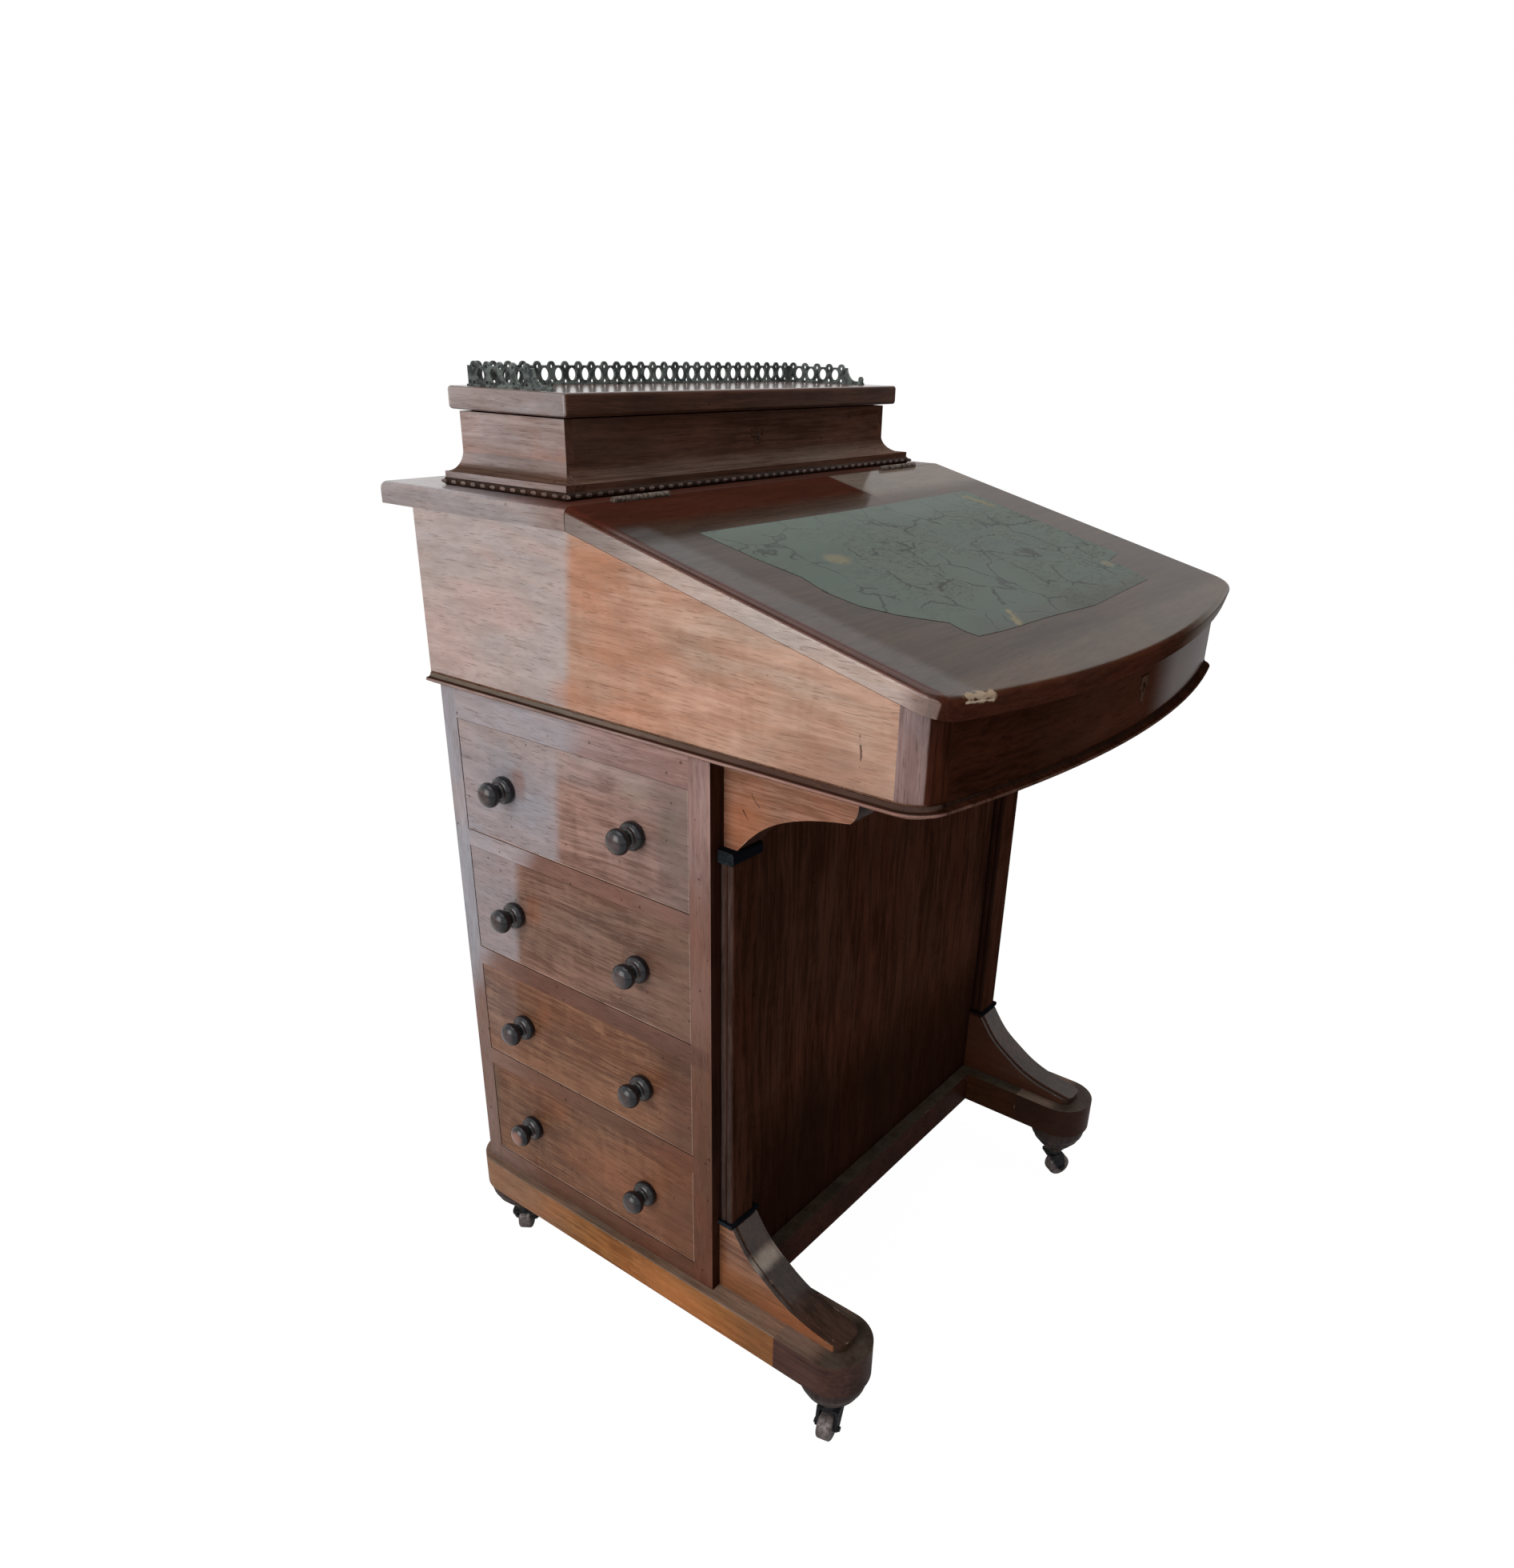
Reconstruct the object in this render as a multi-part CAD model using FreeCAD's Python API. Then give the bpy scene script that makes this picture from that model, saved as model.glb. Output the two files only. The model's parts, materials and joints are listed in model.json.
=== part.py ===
"""Davenport desk: a writing box with a sloping lid, standing on a pedestal of four drawers.

Frame, in millimetres: +Z up, +X to the sitter's right, -Y towards the sitter. The origin lies on the
floor under the middle of the desk. The drawers pull out towards -X. The +X side has dummy fronts.
"""
import FreeCAD, Part
import math
import os

Vec = FreeCAD.Vector
UP = Vec(0, 0, 1)
ALONG_X = Vec(1, 0, 0)

# ---------------------------------------------------------------- overall depth
desk_depth = 589.0            # from the front of the slope lid to the rear edge of the top board
lid_overhang = 10.5           # slope lid past the box front
board_overhang = 46.1         # top board past the box back

# ---------------------------------------------------------------- casters and pads
wheel_radius = 13.5
wheel_width = 14.0
wheel_edge_round = 2.5
wheel_headroom = 3.0          # between the wheel and the bridge over it
axle_radius = 2.5
horn_thickness = 3.0
horn_side_gap = 0.8
axle_end = 2.0                # axle past the cheeks of the horn
bridge_thickness = 4.0
crown_height = 6.6
crown_top_radius = 6.0
crown_base_radius = 8.5
caster_trail = 7.5            # wheel axle behind the swivel axis
stem_radius = 4.0
stem_length = 20.0
socket_wall = 2.0
flange_radius = 12.0
flange_thickness = 2.0
crown_gap = 0.4
running_gap = 0.06            # radial play of a pin or stem in its hole
pad_height = 37.0
pad_radius = 31.0
pad_neck_radius = 13.5
pad_neck_height = 3.0
pad_rim_height = 6.0
pad_ring_radius = 24.6        # turned ring round the foot of a pad
pad_ring_height = 16.0
pad_ring_bead = 1.4
swivel_turns = {"front_left": 193.0, "front_right": 327.0, "rear_left": 35.0, "rear_right": 140.0}

# ---------------------------------------------------------------- base rails and scroll feet
base_projection = 9.1         # outer faces of the base rails past the sides of the pedestal
rail_width = 69.2
rail_height = 36.0
rail_rear_projection = 20.6   # base rails past the back of the pedestal
toe_ledge = 17.8              # base rail in front of a scroll foot
toe_block_length = 77.3
cross_rail_depth = 30.0
cross_rail_set_forward = 14.0 # front cross rail past the kneehole panel
scroll_width = 34.5
scroll_projection = 0.5       # scroll side past the side of its pilaster
scroll_length = 138.5
scroll_shoulder = 14.7        # level part under the pilaster
scroll_height = 75.0
scroll_nose_radius = 13.0
scroll_tip_height = 6.0
scroll_bead_inset = 5.0       # raised cushion from the sides of the scroll
scroll_bead_rise = 2.5
lip_thickness = 4.0
lip_overhang = 2.5

# ---------------------------------------------------------------- pedestal
pedestal_inset = 8.2          # pedestal side from the writing box side
pedestal_depth = 314.4
front_stile_width = 22.0
rear_stile_width = 18.5
frame_thickness = 22.0        # stiles and drawer rails, along X
panel_thickness = 12.0        # kneehole panel, back and bottom board
right_panel_thickness = 20.0
top_rail_height = 30.5
drawer_heights = (106.5, 107.3, 98.0, 106.0)   # openings, from the top down
rail_heights = (16.2, 19.3, 18.2, 20.0)        # the rail under each opening
front_thickness = 20.0
front_recess = 0.4            # drawer fronts behind the faces of the stiles
drawer_gap = 0.5              # around a drawer in its opening
drawer_side_thickness = 8.0
drawer_bottom_thickness = 5.0
drawer_bottom_rise = 6.0
drawer_top_drop = 6.0         # drawer sides below the top of the front
drawer_rear_clearance = 14.6  # between a drawer and the right panel
dummy_thickness = 3.0
runner_width = 22.0
runner_height = 8.0
guide_height = 18.0
guide_gap = 0.7
knob_spacing = 156.4
knob_base_radius = 12.6
knob_base_thickness = 8.4
knob_neck_radius = 6.2
knob_neck_length = 3.15
knob_head_radius = 11.3
knob_head_thickness = 15.5

# ---------------------------------------------------------------- pilasters and knee brackets
pilaster_inset = 10.8         # pilaster side from the pedestal side
pilaster_width = 31.5
pilaster_depth = 13.7
reed_count = 2                # upright reeds on each side of a pilaster
reed_rise = 1.8
cap_thickness = 10.7
cap_overhang = 2.4
bracket_inset = 16.2          # bracket side from the pedestal side
bracket_width = 27.0
bracket_height = 76.3
bracket_length = 121.6

# ---------------------------------------------------------------- writing box
box_width = 536.0
box_wall = 14.0
box_bottom_thickness = 10.4
box_back_height = 136.1       # from the bottom board to the underside of the top board
corner_radius = 24.0
bow_radius = 1080.0
corner_block_reach = 1.4      # upright-grain corner block past its curve, along the side
moulding_projection = 6.0
moulding_height = 6.6
moulding_rise = 2.4           # underside of the moulding above the pedestal
moulding_bead_radius = 1.6
slope_angle = 13.74           # degrees
lid_thickness = 16.0
lid_corner_radius = 25.0
lid_seat_gap = 0.3            # under the slope lid
joint_gap = 0.6               # between the slope lid and the top board
board_thickness = 17.2
board_depth = 227.7
board_corner_radius = 7.0
edge_round = 6.0
leather_thickness = 0.8
leather_recess = 0.5
leather_side_margin = 65.0
leather_head_margin = 73.0
leather_foot_margin = 70.0

# ---------------------------------------------------------------- stationery box
stationery_width = 444.0
stationery_depth = 123.9
stationery_height = 55.8      # from the top board to the top of the walls
stationery_wall = 9.0
stationery_rear_setback = 13.0   # its back from the back of the writing box
plinth_projection = 20.0
plinth_height = 10.8
hollow_width = 19.0
hollow_height = 14.0
bead_strip_height = 6.0
bead_strip_projection = 2.0
stationery_lid_gap = 1.6
stationery_lid_thickness = 17.4
stationery_lid_overhang = 7.9
stationery_lid_rear_overhang = 8.5
stationery_lid_front_overhang = 11.0
stationery_lid_edge_round = 3.0
lid_front_corner = 3.5
lid_rear_corner = 9.0

# ---------------------------------------------------------------- gallery
gallery_inset = 16.7          # from the sides of the stationery lid
gallery_rear_inset = 15.5
gallery_plate = 1.6
gallery_foot_width = 5.0
gallery_foot_height = 1.4
gallery_back_count = 27
gallery_side_count = 5
gallery_terminal = 20.0
gallery_tail_height = 3.0
gallery_curl_radius = 2.8
gallery_link_height = 15.2
bump_height = 14.3
bump_radius = 4.2
bump_hole_radius = 1.5
barrel_half_width = 4.5
barrel_half_height = 5.1
barrel_centre_height = 8.2
arch_radius = 1.6

# ---------------------------------------------------------------- hinges, locks and escutcheons
hinge_length = 62.0
slope_hinge_x = 187.0
slope_knuckle_radius = 2.6
slope_pin_rise = 1.0          # pin above the writing surface
stationery_hinge_x = 150.0
stationery_knuckle_radius = 3.2
pin_radius = 1.2
leaf_thickness = 1.6
leaf_length = 14.0
knuckle_count = 5
knuckle_gap = 0.3
slope_lock_x = 8.0
stationery_lock_x = 13.0
lock_width = 60.0
lock_height = 32.0
lock_thickness = 12.0
lock_drop = 4.0               # lock case below the top of its wall
lock_wall = 2.0
lock_channel_length = 48.0
lock_channel_depth = 9.0
bolt_length = 28.0
bolt_height = 4.0
bolt_gap = 0.3
bolt_travel = 5.5
hook_thickness = 2.5
hook_nose = 4.0
hook_nose_thickness = 1.6
link_plate_thickness = 2.0
link_plate_length = 36.0
slope_key_drop = 24.0         # keyhole below the top of its wall
stationery_key_drop = 19.0
slope_escutcheon = (15.0, 21.0)     # width and height
stationery_escutcheon = (18.0, 12.0)
escutcheon_thickness = 1.0
key_radius = 2.2

# ---------------------------------------------------------------- derived levels
bridge_bottom = 2 * wheel_radius + wheel_headroom
crown_top = bridge_bottom + bridge_thickness + crown_height
flange_bottom = crown_top + crown_gap
pad_bottom = flange_bottom + flange_thickness
rail_bottom = pad_bottom + pad_height
rail_top = rail_bottom + rail_height
pedestal_height = top_rail_height + sum(drawer_heights) + sum(rail_heights)
pedestal_top = rail_top + pedestal_height
box_floor = pedestal_top + box_bottom_thickness
board_bottom = box_floor + box_back_height
board_top = board_bottom + board_thickness
stationery_top = board_top + stationery_height
stationery_lid_bottom = stationery_top + stationery_lid_gap
stationery_lid_top = stationery_lid_bottom + stationery_lid_thickness

# ---------------------------------------------------------------- derived places
front_y = -desk_depth / 2
rear_y = desk_depth / 2
box_front_y = front_y + lid_overhang
box_rear_y = rear_y - board_overhang
joint_y = rear_y - board_depth
pedestal_front_y = box_rear_y - pedestal_depth
pedestal_half = box_width / 2 - pedestal_inset
frame_inner_x = pedestal_half - frame_thickness
panel_inner_x = pedestal_half - right_panel_thickness
kneehole_inner_y = pedestal_front_y + panel_thickness
back_inner_y = box_rear_y - panel_thickness
opening_front_y = pedestal_front_y + front_stile_width
opening_rear_y = box_rear_y - rear_stile_width
opening_centre_y = (opening_front_y + opening_rear_y) / 2
base_half = pedestal_half + base_projection
rail_centre_x = base_half - rail_width / 2
rail_rear_y = box_rear_y + rail_rear_projection
rail_front_y = pedestal_front_y - scroll_length - toe_ledge
pad_front_y = rail_front_y + rail_width / 2
pad_rear_y = rail_rear_y - rail_width / 2
pilaster_outer_x = pedestal_half - pilaster_inset
pilaster_inner_x = pilaster_outer_x - pilaster_width
pilaster_front_y = pedestal_front_y - pilaster_depth
bracket_outer_x = pedestal_half - bracket_inset
scroll_outer_x = pilaster_outer_x + scroll_projection
bracket_bottom = pedestal_top - bracket_height
lip_bottom = rail_top + scroll_height
stationery_rear_y = box_rear_y - stationery_rear_setback
stationery_front_y = stationery_rear_y - stationery_depth
stationery_half = stationery_width / 2
slope_pin_z = board_top + slope_pin_rise
stationery_pin_y = stationery_rear_y + stationery_knuckle_radius + 2 * knuckle_gap
stationery_pin_z = stationery_lid_bottom - stationery_knuckle_radius - knuckle_gap
slope = math.radians(slope_angle)


# ================================================================ shape helpers
def block(low_x, high_x, low_y, high_y, low_z, high_z):
    """Box between two corners."""
    return Part.makeBox(high_x - low_x, high_y - low_y, high_z - low_z, Vec(low_x, low_y, low_z))


def mirrored(shape):
    """The same shape on the other side of the desk."""
    return shape.mirror(Vec(0, 0, 0), ALONG_X)


def pair(shape):
    return [shape, mirrored(shape)]


def moved(shape, x, y, z):
    copy = shape.copy()
    copy.translate(Vec(x, y, z))
    return copy


def turned(shape, degrees, axis, centre=Vec(0, 0, 0)):
    copy = shape.copy()
    copy.rotate(centre, axis, degrees)
    return copy


def line(start, end):
    return Part.makeLine(start, end)


def arc(start, middle, end):
    return Part.Arc(start, middle, end).toShape()


def polygon_edges(points):
    """Straight edges through the points, open."""
    return [line(a, b) for a, b in zip(points, points[1:])]


def face_of(edges):
    return Part.Face(Part.Wire(edges))


def curve_through(points):
    """Smooth edge through the points."""
    spline = Part.BSplineCurve()
    spline.interpolate(points)
    return spline.toShape()


def prism_x(face, low_x, high_x):
    """Face drawn in the YZ plane, extruded from low_x to high_x."""
    return moved(face, low_x, 0, 0).extrude(Vec(high_x - low_x, 0, 0))


def prism_z(face, low_z, high_z):
    """Face drawn in the XY plane, extruded from low_z to high_z."""
    return moved(face, 0, 0, low_z).extrude(Vec(0, 0, high_z - low_z))


def yz_face(points):
    corners = [Vec(0, y, z) for y, z in points]
    return face_of(polygon_edges(corners + corners[:1]))


def xy_face(points):
    corners = [Vec(x, y, 0) for x, y in points]
    return face_of(polygon_edges(corners + corners[:1]))


def cylinder_x(radius, low_x, high_x, y, z):
    return Part.makeCylinder(radius, high_x - low_x, Vec(low_x, y, z), ALONG_X)


def cylinder_z(radius, low_z, high_z, x=0, y=0):
    return Part.makeCylinder(radius, high_z - low_z, Vec(x, y, low_z), UP)


def bowed_face(half_width, face_front_y, face_rear_y, bow, corner):
    """Plan of a board with a straight rear edge, a bowed front and rounded front corners."""
    bow_y = face_front_y + bow
    corner_x = half_width - corner
    corner_y = bow_y - math.sqrt((bow - corner) ** 2 - corner_x ** 2)
    reach = bow / (bow - corner)
    tangent = Vec(corner_x * reach, bow_y + (corner_y - bow_y) * reach, 0)
    middle_angle = math.atan2(corner_y - bow_y, corner_x) / 2
    middle = Vec(corner_x + corner * math.cos(middle_angle), corner_y + corner * math.sin(middle_angle), 0)
    side = Vec(half_width, corner_y, 0)
    rear = Vec(half_width, face_rear_y, 0)
    left = [Vec(-p.x, p.y, 0) for p in (tangent, middle, side, rear)]
    edges = [line(rear, side), arc(side, middle, tangent)]
    edges.append(arc(tangent, Vec(0, face_front_y, 0), left[0]))
    edges += [arc(left[0], left[1], left[2]), line(left[2], left[3]), line(left[3], rear)]
    return face_of(edges)


def rounded_rectangle(half_width, low_y, high_y, front_round, rear_round):
    """Plan rectangle about X = 0 with its front and rear corners rounded."""
    edges = []
    turn = 1 - math.sqrt(0.5)
    corners = ((1, low_y, 1, front_round), (1, high_y, -1, rear_round))
    starts = []
    for sign, y, inward, radius in corners:
        x_start = half_width - radius
        start = Vec(x_start, y, 0)
        middle = Vec(half_width - turn * radius, y + inward * turn * radius, 0)
        end = Vec(half_width, y + inward * radius, 0)
        starts.append((start, middle, end))
    (front_a, front_m, front_b), (rear_a, rear_m, rear_b) = starts
    flip = [Vec(-p.x, p.y, 0) for p in (front_a, front_m, front_b, rear_a, rear_m, rear_b)]
    if front_round:
        edges += [arc(front_a, front_m, front_b), arc(flip[2], flip[1], flip[0])]
    if rear_round:
        edges += [arc(rear_b, rear_m, rear_a), arc(flip[3], flip[4], flip[5])]
    edges += [line(front_b, rear_b), line(rear_a, flip[3]), line(flip[5], flip[2]), line(flip[0], front_a)]
    return face_of(Part.__sortEdges__(edges))


def edges_where(shape, test):
    """Edges of the shape whose bounding box passes the test."""
    return [edge for edge in shape.Edges if test(edge.BoundBox)]


def rounded_top(shape, level, radius, skip_y=None):
    """Fillet of the edges that lie at a level, apart from one straight edge at skip_y."""
    def at_level(bounds):
        flat = abs(bounds.ZMin - level) < 0.01 and abs(bounds.ZMax - level) < 0.01
        skipped = skip_y is not None and bounds.YMin > skip_y - 0.01 and bounds.YMax < skip_y + 0.01
        return flat and not skipped
    return shape.makeFillet(radius, edges_where(shape, at_level))


def slope_z(y):
    """Height of the writing surface."""
    return board_top - math.tan(slope) * (joint_y - y)


def seat_z(y):
    """Height of the sloping wall tops that carry the lid."""
    return slope_z(y) - lid_thickness / math.cos(slope) - lid_seat_gap


def on_slope(shape):
    """Take a shape drawn flat, with Z = 0 as the surface and Y = 0 as the joint, down to the slope."""
    tilted = turned(shape, slope_angle, ALONG_X)
    return moved(tilted, 0, joint_y, board_top)


# ================================================================ base
def foot_rail():
    """Left base rail behind its toe block, with a round rear end."""
    half = rail_width / 2
    rear_centre = rail_rear_y - half
    front = rail_front_y + toe_block_length
    edges = [line(Vec(-half, rear_centre, 0), Vec(-half, front, 0))]
    edges.append(line(Vec(-half, front, 0), Vec(half, front, 0)))
    edges.append(line(Vec(half, front, 0), Vec(half, rear_centre, 0)))
    edges.append(arc(Vec(half, rear_centre, 0), Vec(0, rail_rear_y, 0), Vec(-half, rear_centre, 0)))
    return moved(prism_z(face_of(edges), rail_bottom, rail_top), -rail_centre_x, 0, 0)


def toe_block():
    """Left toe block: the round front end of the base rail."""
    half = rail_width / 2
    rear = rail_front_y + toe_block_length
    edges = [line(Vec(-half, rear, 0), Vec(-half, pad_front_y, 0))]
    edges.append(arc(Vec(-half, pad_front_y, 0), Vec(0, rail_front_y, 0), Vec(half, pad_front_y, 0)))
    edges.append(line(Vec(half, pad_front_y, 0), Vec(half, rear, 0)))
    edges.append(line(Vec(half, rear, 0), Vec(-half, rear, 0)))
    return moved(prism_z(face_of(edges), rail_bottom, rail_top), -rail_centre_x, 0, 0)


def cross_rails():
    inner = base_half - rail_width
    front = pedestal_front_y - cross_rail_set_forward
    rear = box_rear_y
    rails = [block(-inner, inner, front, front + cross_rail_depth, rail_bottom, rail_top)]
    rails.append(block(-inner, inner, rear - cross_rail_depth, rear, rail_bottom, rail_top))
    return rails


def foot_pad(x, y):
    """Turned pad under a rail end: a round body, a ring and a bowl, bored for the caster socket."""
    rim = rail_bottom - pad_rim_height
    neck = pad_bottom + pad_neck_height
    ring, bead = pad_bottom + pad_ring_height, pad_ring_bead
    rim_point = Vec(pad_radius, 0, rim)
    ring_head = Vec(pad_ring_radius + bead, 0, ring + bead)
    ring_foot = Vec(pad_ring_radius - bead, 0, ring - bead)
    neck_point = Vec(pad_neck_radius, 0, neck)
    body_side = (ring_head + rim_point) * 0.5 + Vec(bead, 0, -bead)
    bowl_side = (ring_foot + neck_point) * 0.5 + Vec(bead, 0, -bead)
    edges = [line(Vec(0, 0, pad_bottom), Vec(0, 0, rail_bottom))]
    edges.append(line(Vec(0, 0, rail_bottom), Vec(pad_radius, 0, rail_bottom)))
    edges.append(line(Vec(pad_radius, 0, rail_bottom), rim_point))
    edges.append(arc(rim_point, body_side, ring_head))
    edges.append(arc(ring_head, Vec(pad_ring_radius + bead, 0, ring - bead / 2), ring_foot))
    edges.append(arc(ring_foot, bowl_side, neck_point))
    edges.append(line(neck_point, Vec(pad_neck_radius, 0, pad_bottom)))
    edges.append(line(Vec(pad_neck_radius, 0, pad_bottom), Vec(0, 0, pad_bottom)))
    pad = face_of(edges).revolve(Vec(0, 0, 0), UP, 360)
    socket_radius = stem_radius + running_gap + socket_wall
    bore = cylinder_z(socket_radius, pad_bottom - 1, pad_bottom + stem_length)
    return moved(pad.cut(bore), x, y, 0)


def caster_socket(x, y):
    """Flange under the pad with the tube that takes the caster stem."""
    bore_radius = stem_radius + running_gap
    flange = cylinder_z(flange_radius, flange_bottom, pad_bottom)
    tube = cylinder_z(bore_radius + socket_wall, flange_bottom, pad_bottom + stem_length)
    bore = cylinder_z(bore_radius, flange_bottom - 1, pad_bottom + stem_length + 1)
    return moved(flange.fuse(tube).removeSplitter().cut(bore), x, y, 0)


def caster_fork(x, y, swivel):
    """Horn of a caster with its stem and axle, trailing along the swivel direction."""
    cheek_inner = wheel_width / 2 + horn_side_gap
    cheek_outer = cheek_inner + horn_thickness
    axle_z = wheel_radius
    boss = axle_radius + 2.5
    side = [(-crown_base_radius, bridge_bottom + bridge_thickness)]
    side.append((crown_base_radius, bridge_bottom + bridge_thickness))
    side.append((caster_trail + boss, axle_z))
    side.append((caster_trail, axle_z - boss))
    side.append((caster_trail - boss, axle_z))
    side.append((-crown_base_radius, bridge_bottom))
    corners = [Vec(a, 0, b) for a, b in side]
    cheek_face = face_of(polygon_edges(corners + corners[:1]))
    fork = block(-crown_base_radius, crown_base_radius, -cheek_outer, cheek_outer,
                 bridge_bottom, bridge_bottom + bridge_thickness)
    for start in (-cheek_outer, cheek_inner):
        fork = fork.fuse(moved(cheek_face, 0, start, 0).extrude(Vec(0, horn_thickness, 0)))
    fork = fork.fuse(Part.makeCone(crown_base_radius, crown_top_radius, crown_height,
                                   Vec(0, 0, bridge_bottom + bridge_thickness)))
    fork = fork.fuse(cylinder_z(stem_radius, crown_top - 1, pad_bottom + stem_length - 2))
    axle_half = cheek_outer + axle_end
    fork = fork.fuse(Part.makeCylinder(axle_radius, 2 * axle_half,
                                       Vec(caster_trail, -axle_half, axle_z), Vec(0, 1, 0)))
    return moved(turned(fork.removeSplitter(), swivel, UP), x, y, 0)


def caster_wheel(x, y, swivel):
    """Solid wheel with rounded rims, bored for the axle."""
    start = Vec(caster_trail, -wheel_width / 2, wheel_radius)
    wheel = Part.makeCylinder(wheel_radius, wheel_width, start, Vec(0, 1, 0))
    rims = [edge for edge in wheel.Edges if edge.Closed and len(edge.Vertexes) == 1]
    wheel = wheel.makeFillet(wheel_edge_round, rims)
    bore = Part.makeCylinder(axle_radius + running_gap, wheel_width, start, Vec(0, 1, 0))
    return moved(turned(wheel.cut(bore), swivel, UP), x, y, 0)


# ================================================================ scroll feet, pilasters, brackets
def scroll_top(rise):
    """Points of the hollow top of a scroll foot, raised square to it by rise."""
    tip = rail_top + scroll_tip_height
    fall = scroll_height - scroll_tip_height
    start = pedestal_front_y - scroll_shoulder
    run = scroll_length - scroll_shoulder
    shares = ((0.0, 1.0), (0.06, 0.84), (0.17, 0.60), (0.31, 0.41), (0.45, 0.25), (0.60, 0.135), (0.80, 0.055))
    shares += ((1.0, 0.0),)
    points = []
    for along, up in shares:
        steep = max(0.0, 1 - 1.6 * along)
        y = start - run * along - rise * steep
        points.append(Vec(0, y, tip + fall * up + rise * (1 - steep)))
    return points


def scroll_solid(rise, low_x, high_x):
    top = scroll_top(rise)
    back = pedestal_front_y
    ceiling = rail_top + scroll_height
    top[0] = Vec(0, top[0].y, ceiling)
    foot = Vec(0, top[-1].y, rail_top)
    edges = [curve_through(top), line(top[-1], foot), line(foot, Vec(0, back, rail_top))]
    edges.append(line(Vec(0, back, rail_top), Vec(0, back, ceiling)))
    edges.append(line(Vec(0, back, ceiling), top[0]))
    return prism_x(face_of(edges), low_x, high_x)


def foot_scroll():
    """Left scroll foot: a hollow-curved bracket with a raised cushion and a round nose."""
    outer = -scroll_outer_x
    inner = outer + scroll_width
    body = scroll_solid(0.0, outer, inner)
    cushion = scroll_solid(scroll_bead_rise, outer + scroll_bead_inset, inner - scroll_bead_inset)
    nose = scroll_width / 2
    nose_y = pedestal_front_y - scroll_length
    plan = rounded_rectangle(nose, nose_y, pedestal_front_y, scroll_nose_radius, 0.0)
    envelope = moved(prism_z(plan, rail_top, lip_bottom), (outer + inner) / 2, 0, 0)
    return body.fuse(cushion).common(envelope).removeSplitter()


def pilaster():
    """Left pilaster: a flat front between two sides of upright reeds."""
    outer, inner = -pilaster_outer_x, -pilaster_inner_x
    pitch = pilaster_depth / reed_count
    front_left = Vec(outer + reed_rise, pilaster_front_y, 0)
    front_right = Vec(inner - reed_rise, pilaster_front_y, 0)
    rear_left = Vec(outer + reed_rise, pedestal_front_y, 0)
    rear_right = Vec(inner - reed_rise, pedestal_front_y, 0)
    edges = [line(front_left, front_right), line(rear_right, rear_left)]
    for index in range(reed_count):
        rear = pedestal_front_y - pitch * index
        front, middle = rear - pitch, rear - pitch / 2
        edges.append(arc(Vec(rear_left.x, rear, 0), Vec(outer, middle, 0), Vec(rear_left.x, front, 0)))
        edges.append(arc(Vec(rear_right.x, rear, 0), Vec(inner, middle, 0), Vec(rear_right.x, front, 0)))
    face = face_of(Part.__sortEdges__(edges))
    return prism_z(face, lip_bottom + lip_thickness, bracket_bottom - cap_thickness)


def pilaster_trims():
    """Left cap and lip: dark slips over and under the pilaster."""
    low_x = -pilaster_outer_x - cap_overhang
    high_x = -pilaster_inner_x + cap_overhang
    cap = block(low_x, high_x, pilaster_front_y - cap_overhang, pedestal_front_y,
                bracket_bottom - cap_thickness, bracket_bottom)
    cap = cap.makeFillet(cap_thickness / 4, edges_where(cap, lambda b: b.YMax < pedestal_front_y - 0.01
                                                       and b.ZLength < 0.01))
    outer = -scroll_outer_x
    lip = block(outer - lip_overhang, outer + scroll_width + lip_overhang,
                pilaster_front_y - lip_overhang, pedestal_front_y, lip_bottom, lip_bottom + lip_thickness)
    return [cap, lip]


def knee_bracket():
    """Left bracket under the writing box: flat on top, hollow below, with a round nose."""
    drop = bracket_height
    front = pedestal_front_y
    shares = ((0.11, 1.0), (0.20, 0.84), (0.32, 0.675), (0.46, 0.55), (0.67, 0.435), (0.95, 0.35))
    under = [Vec(0, front - bracket_length * a, pedestal_top - drop * d) for a, d in shares]
    nose_low = under[-1]
    nose_middle = Vec(0, front - bracket_length, pedestal_top - 0.22 * drop)
    nose_high = Vec(0, front - 0.96 * bracket_length, pedestal_top)
    edges = [curve_through(under), arc(nose_low, nose_middle, nose_high)]
    edges.append(line(nose_high, Vec(0, front, pedestal_top)))
    edges.append(line(Vec(0, front, pedestal_top), Vec(0, front, bracket_bottom)))
    edges.append(line(Vec(0, front, bracket_bottom), under[0]))
    return prism_x(face_of(edges), -bracket_outer_x, -bracket_outer_x + bracket_width)


# ================================================================ pedestal
def drawer_levels():
    """Bottom and top of each drawer opening, from the top drawer down."""
    levels = []
    top = pedestal_top - top_rail_height
    for height, rail in zip(drawer_heights, rail_heights):
        levels.append((top - height, top))
        top -= height + rail
    return levels


def drawer_frame():
    """Stiles and rails of the left face."""
    outer, inner = -pedestal_half, -frame_inner_x
    solids = [block(outer, inner, pedestal_front_y, opening_front_y, rail_top, pedestal_top)]
    solids.append(block(outer, inner, opening_rear_y, box_rear_y, rail_top, pedestal_top))
    solids.append(block(outer, inner, opening_front_y, opening_rear_y,
                        pedestal_top - top_rail_height, pedestal_top))
    for (bottom, _), rail in zip(drawer_levels(), rail_heights):
        solids.append(block(outer, inner, opening_front_y, opening_rear_y, bottom - rail, bottom))
    return solids


def dummy_front(bottom, top):
    """Thin false drawer front let into the right panel."""
    face = pedestal_half - front_recess
    return block(face - dummy_thickness, face, opening_front_y + drawer_gap, opening_rear_y - drawer_gap,
                 bottom + drawer_gap, top - drawer_gap)


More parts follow.
